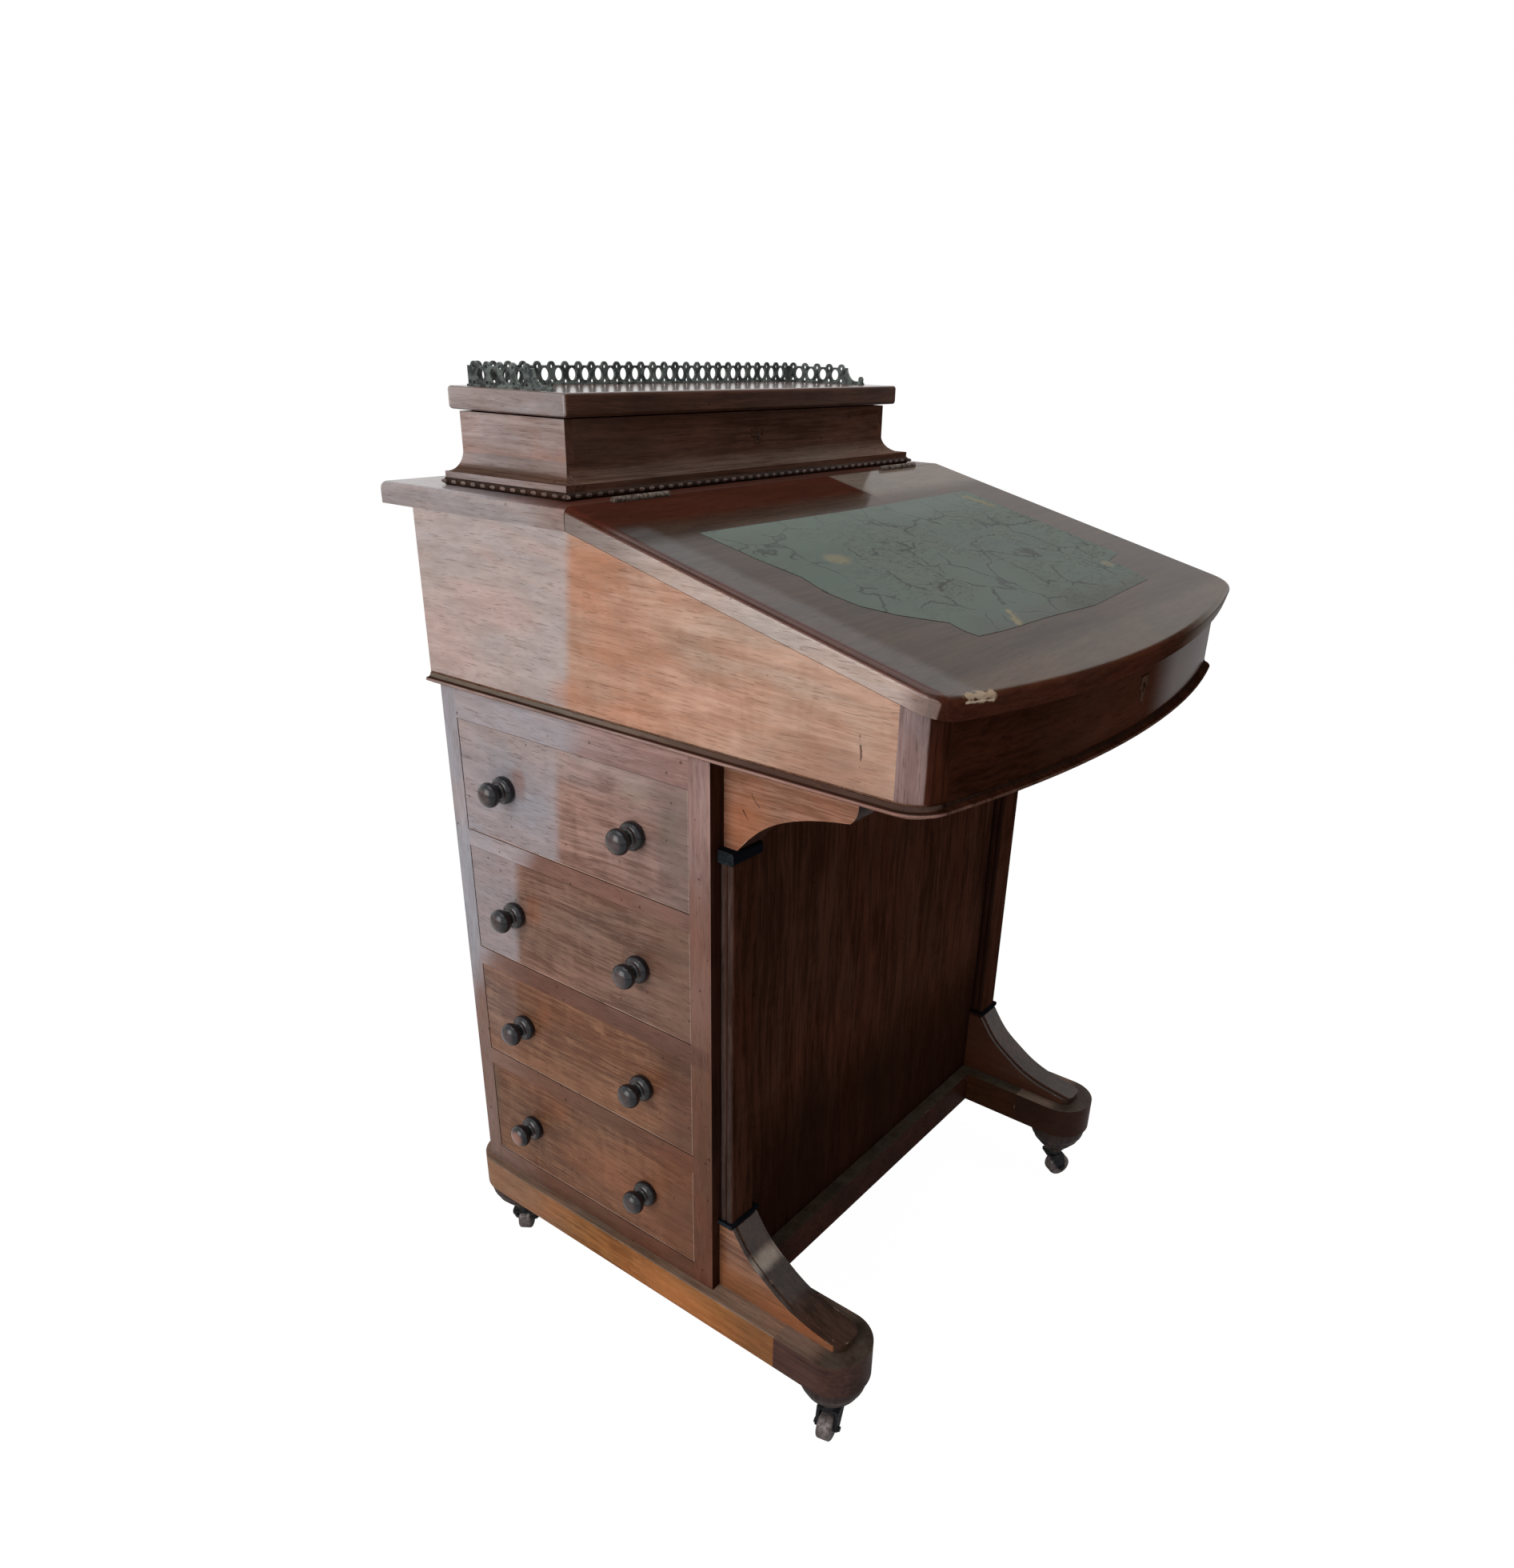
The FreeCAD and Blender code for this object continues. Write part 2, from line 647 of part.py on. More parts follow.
def right_panel():
    """Solid right side with a shallow pocket for each false front."""
    panel = block(panel_inner_x, pedestal_half, pedestal_front_y, box_rear_y, rail_top, pedestal_top)
    floor = pedestal_half - front_recess - dummy_thickness
    for bottom, top in drawer_levels():
        panel = panel.cut(block(floor, pedestal_half + 1, opening_front_y, opening_rear_y, bottom, top))
    return panel


def kneehole_panel():
    return block(-frame_inner_x, panel_inner_x, pedestal_front_y, kneehole_inner_y, rail_top, pedestal_top)


def pedestal_back():
    return block(-frame_inner_x, panel_inner_x, back_inner_y, box_rear_y, rail_top, pedestal_top)


def pedestal_bottom():
    return block(-frame_inner_x, panel_inner_x, kneehole_inner_y, back_inner_y,
                 rail_top, rail_top + panel_thickness)


def drawer_runners():
    """Runners, guides and the kickers over the top drawer."""
    solids = []
    low_x, high_x = -frame_inner_x, panel_inner_x
    for bottom, _ in drawer_levels():
        front_guide = opening_front_y + drawer_gap - guide_gap
        rear_guide = opening_rear_y - drawer_gap + guide_gap
        solids.append(block(low_x, high_x, kneehole_inner_y, kneehole_inner_y + runner_width,
                            bottom - runner_height, bottom))
        solids.append(block(low_x, high_x, back_inner_y - runner_width, back_inner_y,
                            bottom - runner_height, bottom))
        solids.append(block(low_x, high_x, kneehole_inner_y, front_guide, bottom, bottom + guide_height))
        solids.append(block(low_x, high_x, rear_guide, back_inner_y, bottom, bottom + guide_height))
    kicker = pedestal_top - top_rail_height
    solids.append(block(low_x, high_x, kneehole_inner_y, kneehole_inner_y + runner_width,
                        kicker, kicker + runner_height))
    solids.append(block(low_x, high_x, back_inner_y - runner_width, back_inner_y,
                        kicker, kicker + runner_height))
    return solids


# ================================================================ drawers and knobs
def drawer_front(bottom, top):
    outer = -pedestal_half + front_recess
    return block(outer, outer + front_thickness, opening_front_y + drawer_gap, opening_rear_y - drawer_gap,
                 bottom + drawer_gap, top - drawer_gap)


def drawer_box(bottom, top):
    """Two sides, a back and a bottom behind the front."""
    low_x = -pedestal_half + front_recess + front_thickness
    high_x = panel_inner_x - drawer_rear_clearance
    low_y, high_y = opening_front_y + drawer_gap, opening_rear_y - drawer_gap
    low_z, high_z = bottom + drawer_gap, top - drawer_gap - drawer_top_drop
    wall = drawer_side_thickness
    floor = low_z + drawer_bottom_rise
    solids = [block(low_x, high_x, low_y, low_y + wall, low_z, high_z)]
    solids.append(block(low_x, high_x, high_y - wall, high_y, low_z, high_z))
    solids.append(block(high_x - wall, high_x, low_y + wall, high_y - wall, low_z, high_z))
    solids.append(block(low_x, high_x - wall, low_y + wall, high_y - wall,
                        floor, floor + drawer_bottom_thickness))
    return solids


def knob():
    """Turned knob standing along +Z from its seat at Z = 0: a round base, a neck and a flattened ball."""
    base, neck, head = knob_base_radius, knob_neck_radius, knob_head_radius
    thick = knob_base_thickness
    under = thick + knob_neck_length
    half = knob_head_thickness / 2
    rim = Vec(0.78 * base, 0, thick)
    join = Vec(neck, 0, under)
    ball = [join, Vec(0.84 * head, 0, under + 0.36 * half), Vec(head, 0, under + half)]
    ball += [Vec(0.8 * head, 0, under + 1.6 * half), Vec(0.4 * head, 0, under + 1.92 * half)]
    ball.append(Vec(0, 0, under + 2 * half))
    edges = [line(Vec(0, 0, 0), Vec(0.92 * base, 0, 0))]
    edges.append(arc(Vec(0.92 * base, 0, 0), Vec(base, 0, thick / 2), rim))
    edges.append(arc(rim, Vec(0.96 * neck, 0, thick + 0.35 * knob_neck_length), join))
    edges.append(curve_through(ball))
    edges.append(line(ball[-1], Vec(0, 0, 0)))
    return face_of(edges).revolve(Vec(0, 0, 0), UP, 360)


def knob_pair(bottom, top):
    """The two knobs of one drawer, pointing towards -X."""
    face_x = -pedestal_half + front_recess
    standing = turned(knob(), -90, Vec(0, 1, 0))
    height = (bottom + top) / 2
    return [moved(standing, face_x, opening_centre_y + side * knob_spacing / 2, height) for side in (-1, 1)]


# ================================================================ writing box
def wall_trim():
    """Everything over the wall tops of the writing box: the slope in front, level behind."""
    far = desk_depth
    points = [(-far, seat_z(-far)), (joint_y, seat_z(joint_y)), (joint_y, board_bottom)]
    points += [(far, board_bottom), (far, 2 * board_top), (-far, 2 * board_top)]
    return prism_x(yz_face(points), -box_width, box_width)


def box_ring():
    """Outer walls of the writing box in plan, open at the back."""
    outer = bowed_face(box_width / 2, box_front_y, box_rear_y, bow_radius, corner_radius)
    inner = bowed_face(box_width / 2 - box_wall, box_front_y + box_wall, box_rear_y,
                       bow_radius - box_wall, corner_radius - box_wall)
    ring = prism_z(outer, box_floor, board_top).cut(prism_z(inner, box_floor, board_top))
    return ring.cut(wall_trim())


def corner_tangent_y():
    """Where the straight side of the writing box ends and its round corner starts."""
    run = math.sqrt((bow_radius - corner_radius) ** 2 - (box_width / 2 - corner_radius) ** 2)
    return box_front_y + bow_radius - run


def box_walls():
    """Sides, corner blocks and front, sawn out of the ring."""
    ring = box_ring()
    tangent = corner_tangent_y()
    block_rear = tangent + corner_block_reach
    front_half = box_width / 2 - corner_radius
    far = box_width
    left = ring.common(block(-far, -front_half, block_rear, box_rear_y, box_floor, board_top))
    corner = ring.common(block(-far, -front_half, -far, block_rear, box_floor, board_top))
    front = ring.common(block(-front_half, front_half, -far, 0, box_floor, board_top))
    return pair(left), pair(corner), front


def box_front(front):
    """Front wall with its keyhole."""
    return front.cut(key_slot(slope_lock_x, box_front_y - 1, box_front_y + 2 * box_wall, slope_lock().key_z))


def box_back():
    half = box_width / 2 - box_wall
    return block(-half, half, box_rear_y - box_wall, box_rear_y, box_floor, board_bottom)


def box_bottom():
    outline = bowed_face(box_width / 2, box_front_y, box_rear_y, bow_radius, corner_radius)
    return prism_z(outline, pedestal_top, box_floor)


def moulding_face():
    """Section of the waist moulding: X outwards from the box, Z up from its underside."""
    out, high, bead = moulding_projection, moulding_height, moulding_bead_radius
    shelf = 2 * bead
    step = out - 1.5 * bead
    edges = [line(Vec(0, 0, 0), Vec(out - bead, 0, 0))]
    edges.append(arc(Vec(out - bead, 0, 0), Vec(out, 0, bead), Vec(out - bead, 0, shelf)))
    edges.append(line(Vec(out - bead, 0, shelf), Vec(step, 0, shelf)))
    hollow = Vec(0.45 * step, 0, shelf + 0.3 * (high - shelf))
    edges.append(arc(Vec(step, 0, shelf), hollow, Vec(0.2 * step, 0, high)))
    edges.append(line(Vec(0.2 * step, 0, high), Vec(0, 0, high)))
    edges.append(line(Vec(0, 0, high), Vec(0, 0, 0)))
    return face_of(edges)


def moulding_arc(radius, centre_x, centre_y, start_angle, end_angle):
    """Waist moulding bent round an arc of the plan. Angles in degrees from +X."""
    section = turned(moved(moulding_face(), radius, 0, 0), start_angle, UP)
    band = section.revolve(Vec(0, 0, 0), UP, end_angle - start_angle)
    return moved(band, centre_x, centre_y, pedestal_top + moulding_rise)


def waist_moulding():
    """Left, right and front lengths; the front one goes round both corners."""
    half = box_width / 2
    tangent = corner_tangent_y()
    corner_x = half - corner_radius
    bow_y = box_front_y + bow_radius
    bend = math.degrees(math.atan2(tangent - bow_y, corner_x))
    section = moved(moulding_face(), half, tangent, pedestal_top + moulding_rise)
    right = section.extrude(Vec(0, box_rear_y - tangent, 0))
    front = moulding_arc(bow_radius, 0, bow_y, -180 - bend, bend)
    corner = moulding_arc(corner_radius, corner_x, tangent, bend, 0)
    front = front.fuse([corner, mirrored(corner)])
    return [mirrored(right), right, front]


def top_board():
    """Fixed board behind the slope, rounded on its outer edges."""
    half = box_width / 2
    plan = rounded_rectangle(half, joint_y, rear_y, 0.0, board_corner_radius)
    board = prism_z(plan, board_bottom, board_top)
    board = rounded_top(board, board_top, edge_round, joint_y)
    board = board.cut(block(-box_width, box_width, joint_y - 1, joint_y + joint_gap / 2, 0, 2 * board_top))
    for x in (-slope_hinge_x, slope_hinge_x):
        board = board.cut(slope_hinge_recess(x))
    return board


# ================================================================ slope lid
def lid_reach():
    """Length of the slope lid along the slope, from the joint to its rounded front edge."""
    nose = edge_round * (math.cos(slope) + math.sin(slope) - 1)
    return (joint_y - front_y + nose) / math.cos(slope)


def slope_lid():
    """Sloping lid, bowed in front, drawn flat and tilted."""
    outline = bowed_face(box_width / 2, -lid_reach(), 0, bow_radius, lid_corner_radius)
    lid = prism_z(outline, -lid_thickness, 0)
    lid = rounded_top(lid, 0, edge_round, 0)
    lid = lid.cut(moved(leather_shape(leather_recess + 1), 0, 0, -leather_recess))
    lid = on_slope(lid)
    lid = lid.cut(block(-box_width, box_width, joint_y - joint_gap / 2, rear_y, 0, 2 * board_top))
    for x in (-slope_hinge_x, slope_hinge_x):
        lid = lid.cut(slope_hinge_recess(x))
    return lid.cut(slope_link_blank())


def leather_shape(thickness):
    """Worn outline of the leather, drawn flat with its underside at Z = 0. Its points are shares of
    its half width and of its length down the slope."""
    left = ((-0.98, 0.0), (-0.965, 0.24), (-0.935, 0.40), (-0.965, 0.51), (-0.945, 0.63), (-0.87, 0.73))
    left_foot = ((-0.725, 0.845), (-0.735, 0.905), (-0.72, 0.95))
    foot = ((-0.575, 0.965), (-0.24, 0.975), (0.13, 1.0), (0.50, 0.98), (0.775, 0.965))
    right = ((0.83, 0.87), (0.82, 0.78), (1.0, 0.75), (1.0, 0.0), (0.005, 0.013))
    half = box_width / 2 - leather_side_margin
    length = lid_reach() - leather_head_margin - leather_foot_margin
    points = [(half * x, -leather_head_margin - length * down) for x, down in left + left_foot + foot + right]
    return prism_z(xy_face(points), 0, thickness)


def writing_leather():
    return on_slope(moved(leather_shape(leather_thickness), 0, 0, -leather_recess))


# ================================================================ stationery box
def stationery_walls():
    """Front, two ends and back, standing on the top board."""
    half, wall = stationery_half, stationery_wall
    low, high = board_top, stationery_top
    front = block(-half, half, stationery_front_y, stationery_front_y + wall, low, high)
    front = front.cut(key_slot(stationery_lock_x, stationery_front_y - 1, stationery_front_y + wall + 1,
                               stationery_lock().key_z))
    back = block(-half + wall, half - wall, stationery_rear_y - wall, stationery_rear_y, low, high)
    for x in (-stationery_hinge_x, stationery_hinge_x):
        back = back.cut(stationery_fixed_plate(x))
    left = block(-half, -half + wall, stationery_front_y + wall, stationery_rear_y, low, high)
    return [front, back, left, mirrored(left)]


def mitred_runs(section, inner_half, inner_front_y, depth):
    """Moulding round the front and both ends; section X is outwards, depth its greatest reach."""
    far = inner_half + depth
    front_face = turned(section, -90, UP)
    front = moved(front_face, -far, inner_front_y, 0).extrude(Vec(2 * far, 0, 0))
    plan = [(-far, inner_front_y - depth), (far, inner_front_y - depth)]
    plan += [(inner_half, inner_front_y), (-inner_half, inner_front_y)]
    front = front.common(prism_z(xy_face(plan), 0, 2 * board_top))
    length = stationery_rear_y - inner_front_y + depth
    right = moved(section, inner_half, inner_front_y - depth, 0).extrude(Vec(0, length, 0))
    side = [(inner_half, inner_front_y), (far, inner_front_y - depth)]
    side += [(far, stationery_rear_y), (inner_half, stationery_rear_y)]
    right = right.common(prism_z(xy_face(side), 0, 2 * board_top))
    return [front, mirrored(right), right]


def stationery_skirt():
    """Plinth with a hollow moulding over it."""
    out, low = plinth_projection, board_top
    shelf = low + plinth_height
    turn = 1 - math.sqrt(0.5)
    foot = Vec(hollow_width, 0, shelf)
    head = Vec(0, 0, shelf + hollow_height)
    middle = Vec(turn * hollow_width, 0, shelf + turn * hollow_height)
    edges = [line(Vec(0, 0, low), Vec(out, 0, low)), line(Vec(out, 0, low), Vec(out, 0, shelf))]
    edges += [line(Vec(out, 0, shelf), foot), arc(foot, middle, head), line(head, Vec(0, 0, low))]
    return mitred_runs(face_of(edges), stationery_half, stationery_front_y, out)


def bead_strips():
    """Half-round strip along the foot of the plinth."""
    out, low, high = bead_strip_projection, board_top, board_top + bead_strip_height
    foot, head = Vec(0, 0, low), Vec(0, 0, high)
    section = face_of([arc(foot, Vec(out, 0, (low + high) / 2), head), line(head, foot)])
    return mitred_runs(section, stationery_half + plinth_projection,
                       stationery_front_y - plinth_projection, out)


def stationery_lid():
    """Lid with rounded edges, overhanging all round."""
    half = stationery_half + stationery_lid_overhang
    low_y = stationery_front_y - stationery_lid_front_overhang
    high_y = stationery_rear_y + stationery_lid_rear_overhang
    plan = rounded_rectangle(half, low_y, high_y, lid_front_corner, lid_rear_corner)
    lid = prism_z(plan, stationery_lid_bottom, stationery_lid_top)
    lid = rounded_top(lid, stationery_lid_top, stationery_lid_edge_round)
    lid = rounded_top(lid, stationery_lid_bottom, stationery_lid_edge_round)
    for x in (-stationery_hinge_x, stationery_hinge_x):
        lid = lid.cut(stationery_moving_plate(x))
    return lid.cut(stationery_link_blank())


# ================================================================ gallery
def gallery_strip(units, pitch, terminal):
    """Pierced strip drawn in XZ from X = 0: a base, open units and an optional swept end."""
    length = units * pitch
    link = gallery_link_height
    cut = math.sqrt(bump_radius ** 2 - (link - bump_height) ** 2)
    top = [line(Vec(0, 0, 0), Vec(0, 0, link))]
    last = Vec(0, 0, link)
    holes = []
    for index in range(units):
        centre = (index + 0.5) * pitch
        start, end = Vec(centre - cut, 0, link), Vec(centre + cut, 0, link)
        top += [line(last, start), arc(start, Vec(centre, 0, bump_height + bump_radius), end)]
        last = end
        holes.append(Part.makeCylinder(bump_hole_radius, gallery_plate, Vec(centre, 0, bump_height),
                                       Vec(0, 1, 0)))
        arch = Part.makeCylinder(arch_radius, gallery_plate, Vec(centre, 0, 1.6 * arch_radius), Vec(0, 1, 0))
        holes.append(arch)
    for index in range(units + 1):
        if 0 < index < units:
            holes.append(barrel_hole(index * pitch))
    end_x = length + terminal
    curl = []
    if terminal:
        tail, radius = gallery_tail_height, gallery_curl_radius
        top.append(line(last, Vec(length, 0, link)))
        top.append(arc(Vec(length, 0, link), Vec(length + 0.14 * terminal, 0, 0.5 * link),
                       Vec(length + 0.45 * terminal, 0, tail)))
        top.append(line(Vec(length + 0.45 * terminal, 0, tail), Vec(end_x, 0, tail)))
        last = Vec(end_x, 0, tail)
        curl.append(Part.makeCylinder(radius, gallery_plate, Vec(end_x - radius, 0, tail + 0.6 * radius),
                                      Vec(0, 1, 0)))
    else:
        top.append(line(last, Vec(end_x, 0, link)))
        last = Vec(end_x, 0, link)
    top += [line(last, Vec(end_x, 0, 0)), line(Vec(end_x, 0, 0), Vec(0, 0, 0))]
    strip = face_of(top).extrude(Vec(0, gallery_plate, 0)).cut(holes)
    spread = (gallery_foot_width - gallery_plate) / 2
    foot = block(0, end_x, -spread, gallery_plate + spread, 0, gallery_foot_height)
    return strip.fuse([foot] + curl).removeSplitter()


def barrel_hole(centre):
    """Oval opening between two posts of the gallery."""
    oval = Part.Ellipse(Vec(0, barrel_half_height, 0), Vec(barrel_half_width, 0, 0), Vec(0, 0, 0)).toShape()
    face = turned(Part.Face(Part.Wire([oval])), 90, ALONG_X)
    return moved(face, centre, 0, barrel_centre_height).extrude(Vec(0, gallery_plate, 0))


def gallery():
    """Back run and two side runs on the stationery lid, meeting at the rear corners."""
    half = stationery_half + stationery_lid_overhang - gallery_inset
    rear = stationery_rear_y + stationery_lid_rear_overhang - gallery_rear_inset
    pitch = 2 * half / gallery_back_count
    back = moved(gallery_strip(gallery_back_count, pitch, 0), -half, rear - gallery_plate / 2,
                 stationery_lid_top)
    side = turned(gallery_strip(gallery_side_count, pitch, gallery_terminal), -90, UP)
    left = moved(side, -half - gallery_plate / 2, rear + gallery_foot_width / 2, stationery_lid_top)
    right = mirrored(left)
    return [back.cut([left, right]), left, right]


# ================================================================ hinges
def knuckle_spans(moving):
    """Start and end of the knuckles of one leaf along the hinge, from its middle."""
    share = hinge_length / knuckle_count
    spans = []
    for index in range(knuckle_count):
        if (index % 2 == 1) == moving:
            start = -hinge_length / 2 + index * share
            low = start + (knuckle_gap if index > 0 else 0)
            high = start + share - (knuckle_gap if index < knuckle_count - 1 else 0)
            spans.append((low, high))
    return spans


def slope_hinge_recess(x):
    """Room for one slope hinge: a groove for the knuckles and a slot for both leaves."""
    half = hinge_length / 2 + knuckle_gap
    groove = cylinder_x(slope_knuckle_radius + knuckle_gap, x - half, x + half, joint_y, slope_pin_z)
    reach = joint_gap / 2 + leaf_thickness
    slot = block(x - half, x + half, joint_y - reach, joint_y + reach,
                 board_top - leaf_length, board_top + leaf_length)
    return groove.fuse(slot)


def slope_leaf(x, moving):
    """One leaf of a slope hinge. The fixed leaf carries the pin."""
    side = -1 if moving else 1
    near = joint_y + side * joint_gap / 2
    far = near + side * leaf_thickness
    low_y, high_y = min(near, far), max(near, far)
    plate_top = slope_pin_z - slope_knuckle_radius - knuckle_gap
    half = hinge_length / 2
    leaf = block(x - half, x + half, low_y, high_y, board_top - leaf_length, plate_top)
    for low, high in knuckle_spans(moving):
        barrel = cylinder_x(slope_knuckle_radius, x + low, x + high, joint_y, slope_pin_z)
        web = block(x + low, x + high, low_y, high_y, plate_top, slope_pin_z)
        leaf = leaf.fuse([barrel, web])
    return hinge_pin_fit(leaf.removeSplitter(), x, joint_y, slope_pin_z, moving)


def hinge_pin_fit(leaf, x, y, z, moving):
    """Bore the moving leaf for the pin, or join the pin to the fixed leaf."""
    half = hinge_length / 2
    if moving:
        return leaf.cut(cylinder_x(pin_radius + running_gap, x - half, x + half, y, z))
    return leaf.fuse(cylinder_x(pin_radius, x - half, x + half, y, z)).removeSplitter()


def stationery_fixed_plate(x):
    """Plate of the fixed leaf, let into the rear face of the back."""
    half = hinge_length / 2
    return block(x - half, x + half, stationery_rear_y - leaf_thickness, stationery_rear_y,
                 stationery_top - leaf_length, stationery_top)


def stationery_moving_plate(x):
    """Plate of the moving leaf, let into the underside of the lid."""
    half = hinge_length / 2
    return block(x - half, x + half, stationery_rear_y - leaf_length, stationery_pin_y + pin_radius,
                 stationery_lid_bottom, stationery_lid_bottom + leaf_thickness)


def stationery_leaf(x, moving):
    """One leaf of a hinge under the rear overhang of the stationery lid."""
    plate = stationery_moving_plate(x) if moving else stationery_fixed_plate(x)
    pin_y, pin_z = stationery_pin_y, stationery_pin_z
    leaf = plate
    for low, high in knuckle_spans(moving):
        barrel = cylinder_x(stationery_knuckle_radius, x + low, x + high, pin_y, pin_z)
        if moving:
            web = block(x + low, x + high, pin_y - pin_radius, pin_y + pin_radius,
                        pin_z, stationery_lid_bottom)
        else:
            web = block(x + low, x + high, stationery_rear_y, pin_y, pin_z - pin_radius, pin_z)
        leaf = leaf.fuse([barrel, web])
    return hinge_pin_fit(leaf.removeSplitter(), x, pin_y, pin_z, moving)


# ================================================================ locks
class Lock:
    """Where one lock sits: its middle, the face it is screwed to, the top of its case and its keyhole."""

    def __init__(self, x, front, wall_top, key_drop):
        self.x = x
        self.front = front
        self.top = wall_top - lock_drop
        self.key_z = wall_top - key_drop
        self.channel_x = x - lock_channel_length / 2
        self.bolt_x = self.channel_x + 2 * lock_wall
        self.hook_x = self.bolt_x + bolt_length + bolt_travel + bolt_gap
        self.channel_z = self.top - lock_channel_depth
        self.bolt_z = self.channel_z + hook_nose_thickness + 2 * bolt_gap


def slope_lock():
    """Lock behind the bowed front; its case clears the bow over its whole width."""
    reach = slope_lock_x + lock_width / 2
    inner_bow = bow_radius - box_wall
    sag = inner_bow - math.sqrt(inner_bow ** 2 - reach ** 2)
    wall_top = seat_z(box_front_y + box_wall)
    return Lock(slope_lock_x, box_front_y + box_wall + sag, wall_top, slope_key_drop)


def stationery_lock():
    return Lock(stationery_lock_x, stationery_front_y + stationery_wall, stationery_top, stationery_key_drop)


def key_slot(x, low_y, high_y, z):
    """Keyhole through a wall: a round eye over a slot."""
    eye = Part.makeCylinder(key_radius, high_y - low_y, Vec(x, low_y, z), Vec(0, 1, 0))
    slot = block(x - 0.5 * key_radius, x + 0.5 * key_radius, low_y, high_y, z - 2.6 * key_radius, z)
    return eye.fuse(slot).removeSplitter()


def lock_case(lock):
    """Case with the open channel in which the bolt slides."""
    half = lock_width / 2
    rear = lock.front + lock_thickness
    case = block(lock.x - half, lock.x + half, lock.front, rear, lock.top - lock_height, lock.top)
    channel = block(lock.channel_x, lock.channel_x + lock_channel_length, lock.front + lock_wall,
                    rear - lock_wall, lock.channel_z, lock.top + 1)
    return case.cut(channel).cut(key_slot(lock.x, lock.front - 1, lock.front + 1.5 * lock_wall, lock.key_z))


def lock_bolt(lock):
    """Bolt in its unlocked place. It slides towards +X over the nose of the hook."""
    gap = lock_wall + bolt_gap
    return block(lock.bolt_x, lock.bolt_x + bolt_length, lock.front + gap, lock.front + lock_thickness - gap,
                 lock.bolt_z, lock.bolt_z + bolt_height)


def link_hook(lock, lid_bottom):
    """Hook that hangs from a lid into the channel of its lock, towards the back of the channel."""
    rear = lock.front + lock_thickness - lock_wall - 2 * bolt_gap
    low_y = rear - hook_thickness
    low_z = lock.channel_z + bolt_gap
    stem = block(lock.hook_x, lock.hook_x + hook_thickness, low_y, rear, low_z, lid_bottom)
    nose = block(lock.hook_x - hook_nose, lock.hook_x, low_y, rear, low_z, low_z + hook_nose_thickness)
    return stem.fuse(nose).removeSplitter()


def slope_link_blank():
    """Plate let into the underside of the slope lid over the lock."""
    lock = slope_lock()
    along = (joint_y - lock.front - lock_thickness / 2) / math.cos(slope)
    half = link_plate_length / 2
    plate = block(lock.x - half, lock.x + half, -along - lock_thickness / 2, -along + lock_thickness / 2,
                  -lid_thickness, -lid_thickness + link_plate_thickness)
    return on_slope(plate)


def slope_link_plate():
    lock = slope_lock()
    underside = slope_z(lock.front + lock_thickness / 2) - lid_thickness / math.cos(slope)
    hook = link_hook(lock, underside + link_plate_thickness)
    return slope_link_blank().fuse(hook).removeSplitter()


def stationery_link_blank():
    """Plate let into the underside of the stationery lid over its lock."""
    lock = stationery_lock()
    half = link_plate_length / 2
    return block(lock.x - half, lock.x + half, lock.front, lock.front + lock_thickness,
                 stationery_lid_bottom, stationery_lid_bottom + link_plate_thickness)


def stationery_link_plate():
    hook = link_hook(stationery_lock(), stationery_lid_bottom)
    return stationery_link_blank().fuse(hook).removeSplitter()


def escutcheon(lock, face_y, size):
    """Shield plate round a keyhole: a broad head over a narrower foot."""
    half, high = size[0] / 2, size[1]
    top = lock.key_z + 0.36 * high
    points = [(-half, top), (half, top), (half, top - 0.42 * high), (0.5 * half, top - 0.58 * high)]
    points += [(0.34 * half, top - high), (-0.34 * half, top - high), (-0.5 * half, top - 0.58 * high)]
    points.append((-half, top - 0.42 * high))
    corners = [Vec(lock.x + x, face_y - escutcheon_thickness, z) for x, z in points]
    plate = face_of(polygon_edges(corners + corners[:1])).extrude(Vec(0, escutcheon_thickness, 0))
    hole = key_slot(lock.x, face_y - 2 * escutcheon_thickness, face_y + escutcheon_thickness, lock.key_z)
    return plate.cut(hole)


# ================================================================ assembly
def base_nodes():
    nodes = {}
    nodes["base_rails"] = pair(foot_rail()) + cross_rails()
    nodes["toe_blocks"] = pair(toe_block())
    nodes["foot_scrolls"] = pair(foot_scroll())
    pads, sockets = [], []
    for corner, swivel in swivel_turns.items():
        x = -rail_centre_x if corner.endswith("left") else rail_centre_x
        y = pad_front_y if corner.startswith("front") else pad_rear_y
        pads.append(foot_pad(x, y))
        sockets.append(caster_socket(x, y))
        nodes["caster_fork_" + corner] = [caster_fork(x, y, swivel)]
        nodes["caster_wheel_" + corner] = [caster_wheel(x, y, swivel)]
    nodes["foot_pads"] = pads
    nodes["caster_sockets"] = sockets
    return nodes


def pedestal_nodes():
    nodes = {}
    nodes["drawer_frame"] = drawer_frame()
    nodes["right_panel"] = [right_panel()]
    nodes["kneehole_panel"] = [kneehole_panel()]
    nodes["pedestal_back"] = [pedestal_back()]
    nodes["pedestal_bottom"] = [pedestal_bottom()]
    nodes["drawer_runners"] = drawer_runners()
    nodes["pilasters"] = pair(pilaster())
    nodes["pilaster_caps"] = [half for trim in pilaster_trims() for half in pair(trim)]
    nodes["knee_brackets"] = pair(knee_bracket())
    nodes["dummy_fronts"] = [dummy_front(bottom, top) for bottom, top in drawer_levels()]
    nodes["dummy_knobs"] = [mirrored(one) for level in drawer_levels() for one in knob_pair(*level)]
    for number, (bottom, top) in enumerate(drawer_levels(), start=1):
        nodes["drawer_%d_front" % number] = [drawer_front(bottom, top)]
        nodes["drawer_%d_box" % number] = drawer_box(bottom, top)
        nodes["drawer_%d_knobs" % number] = knob_pair(bottom, top)
    return nodes


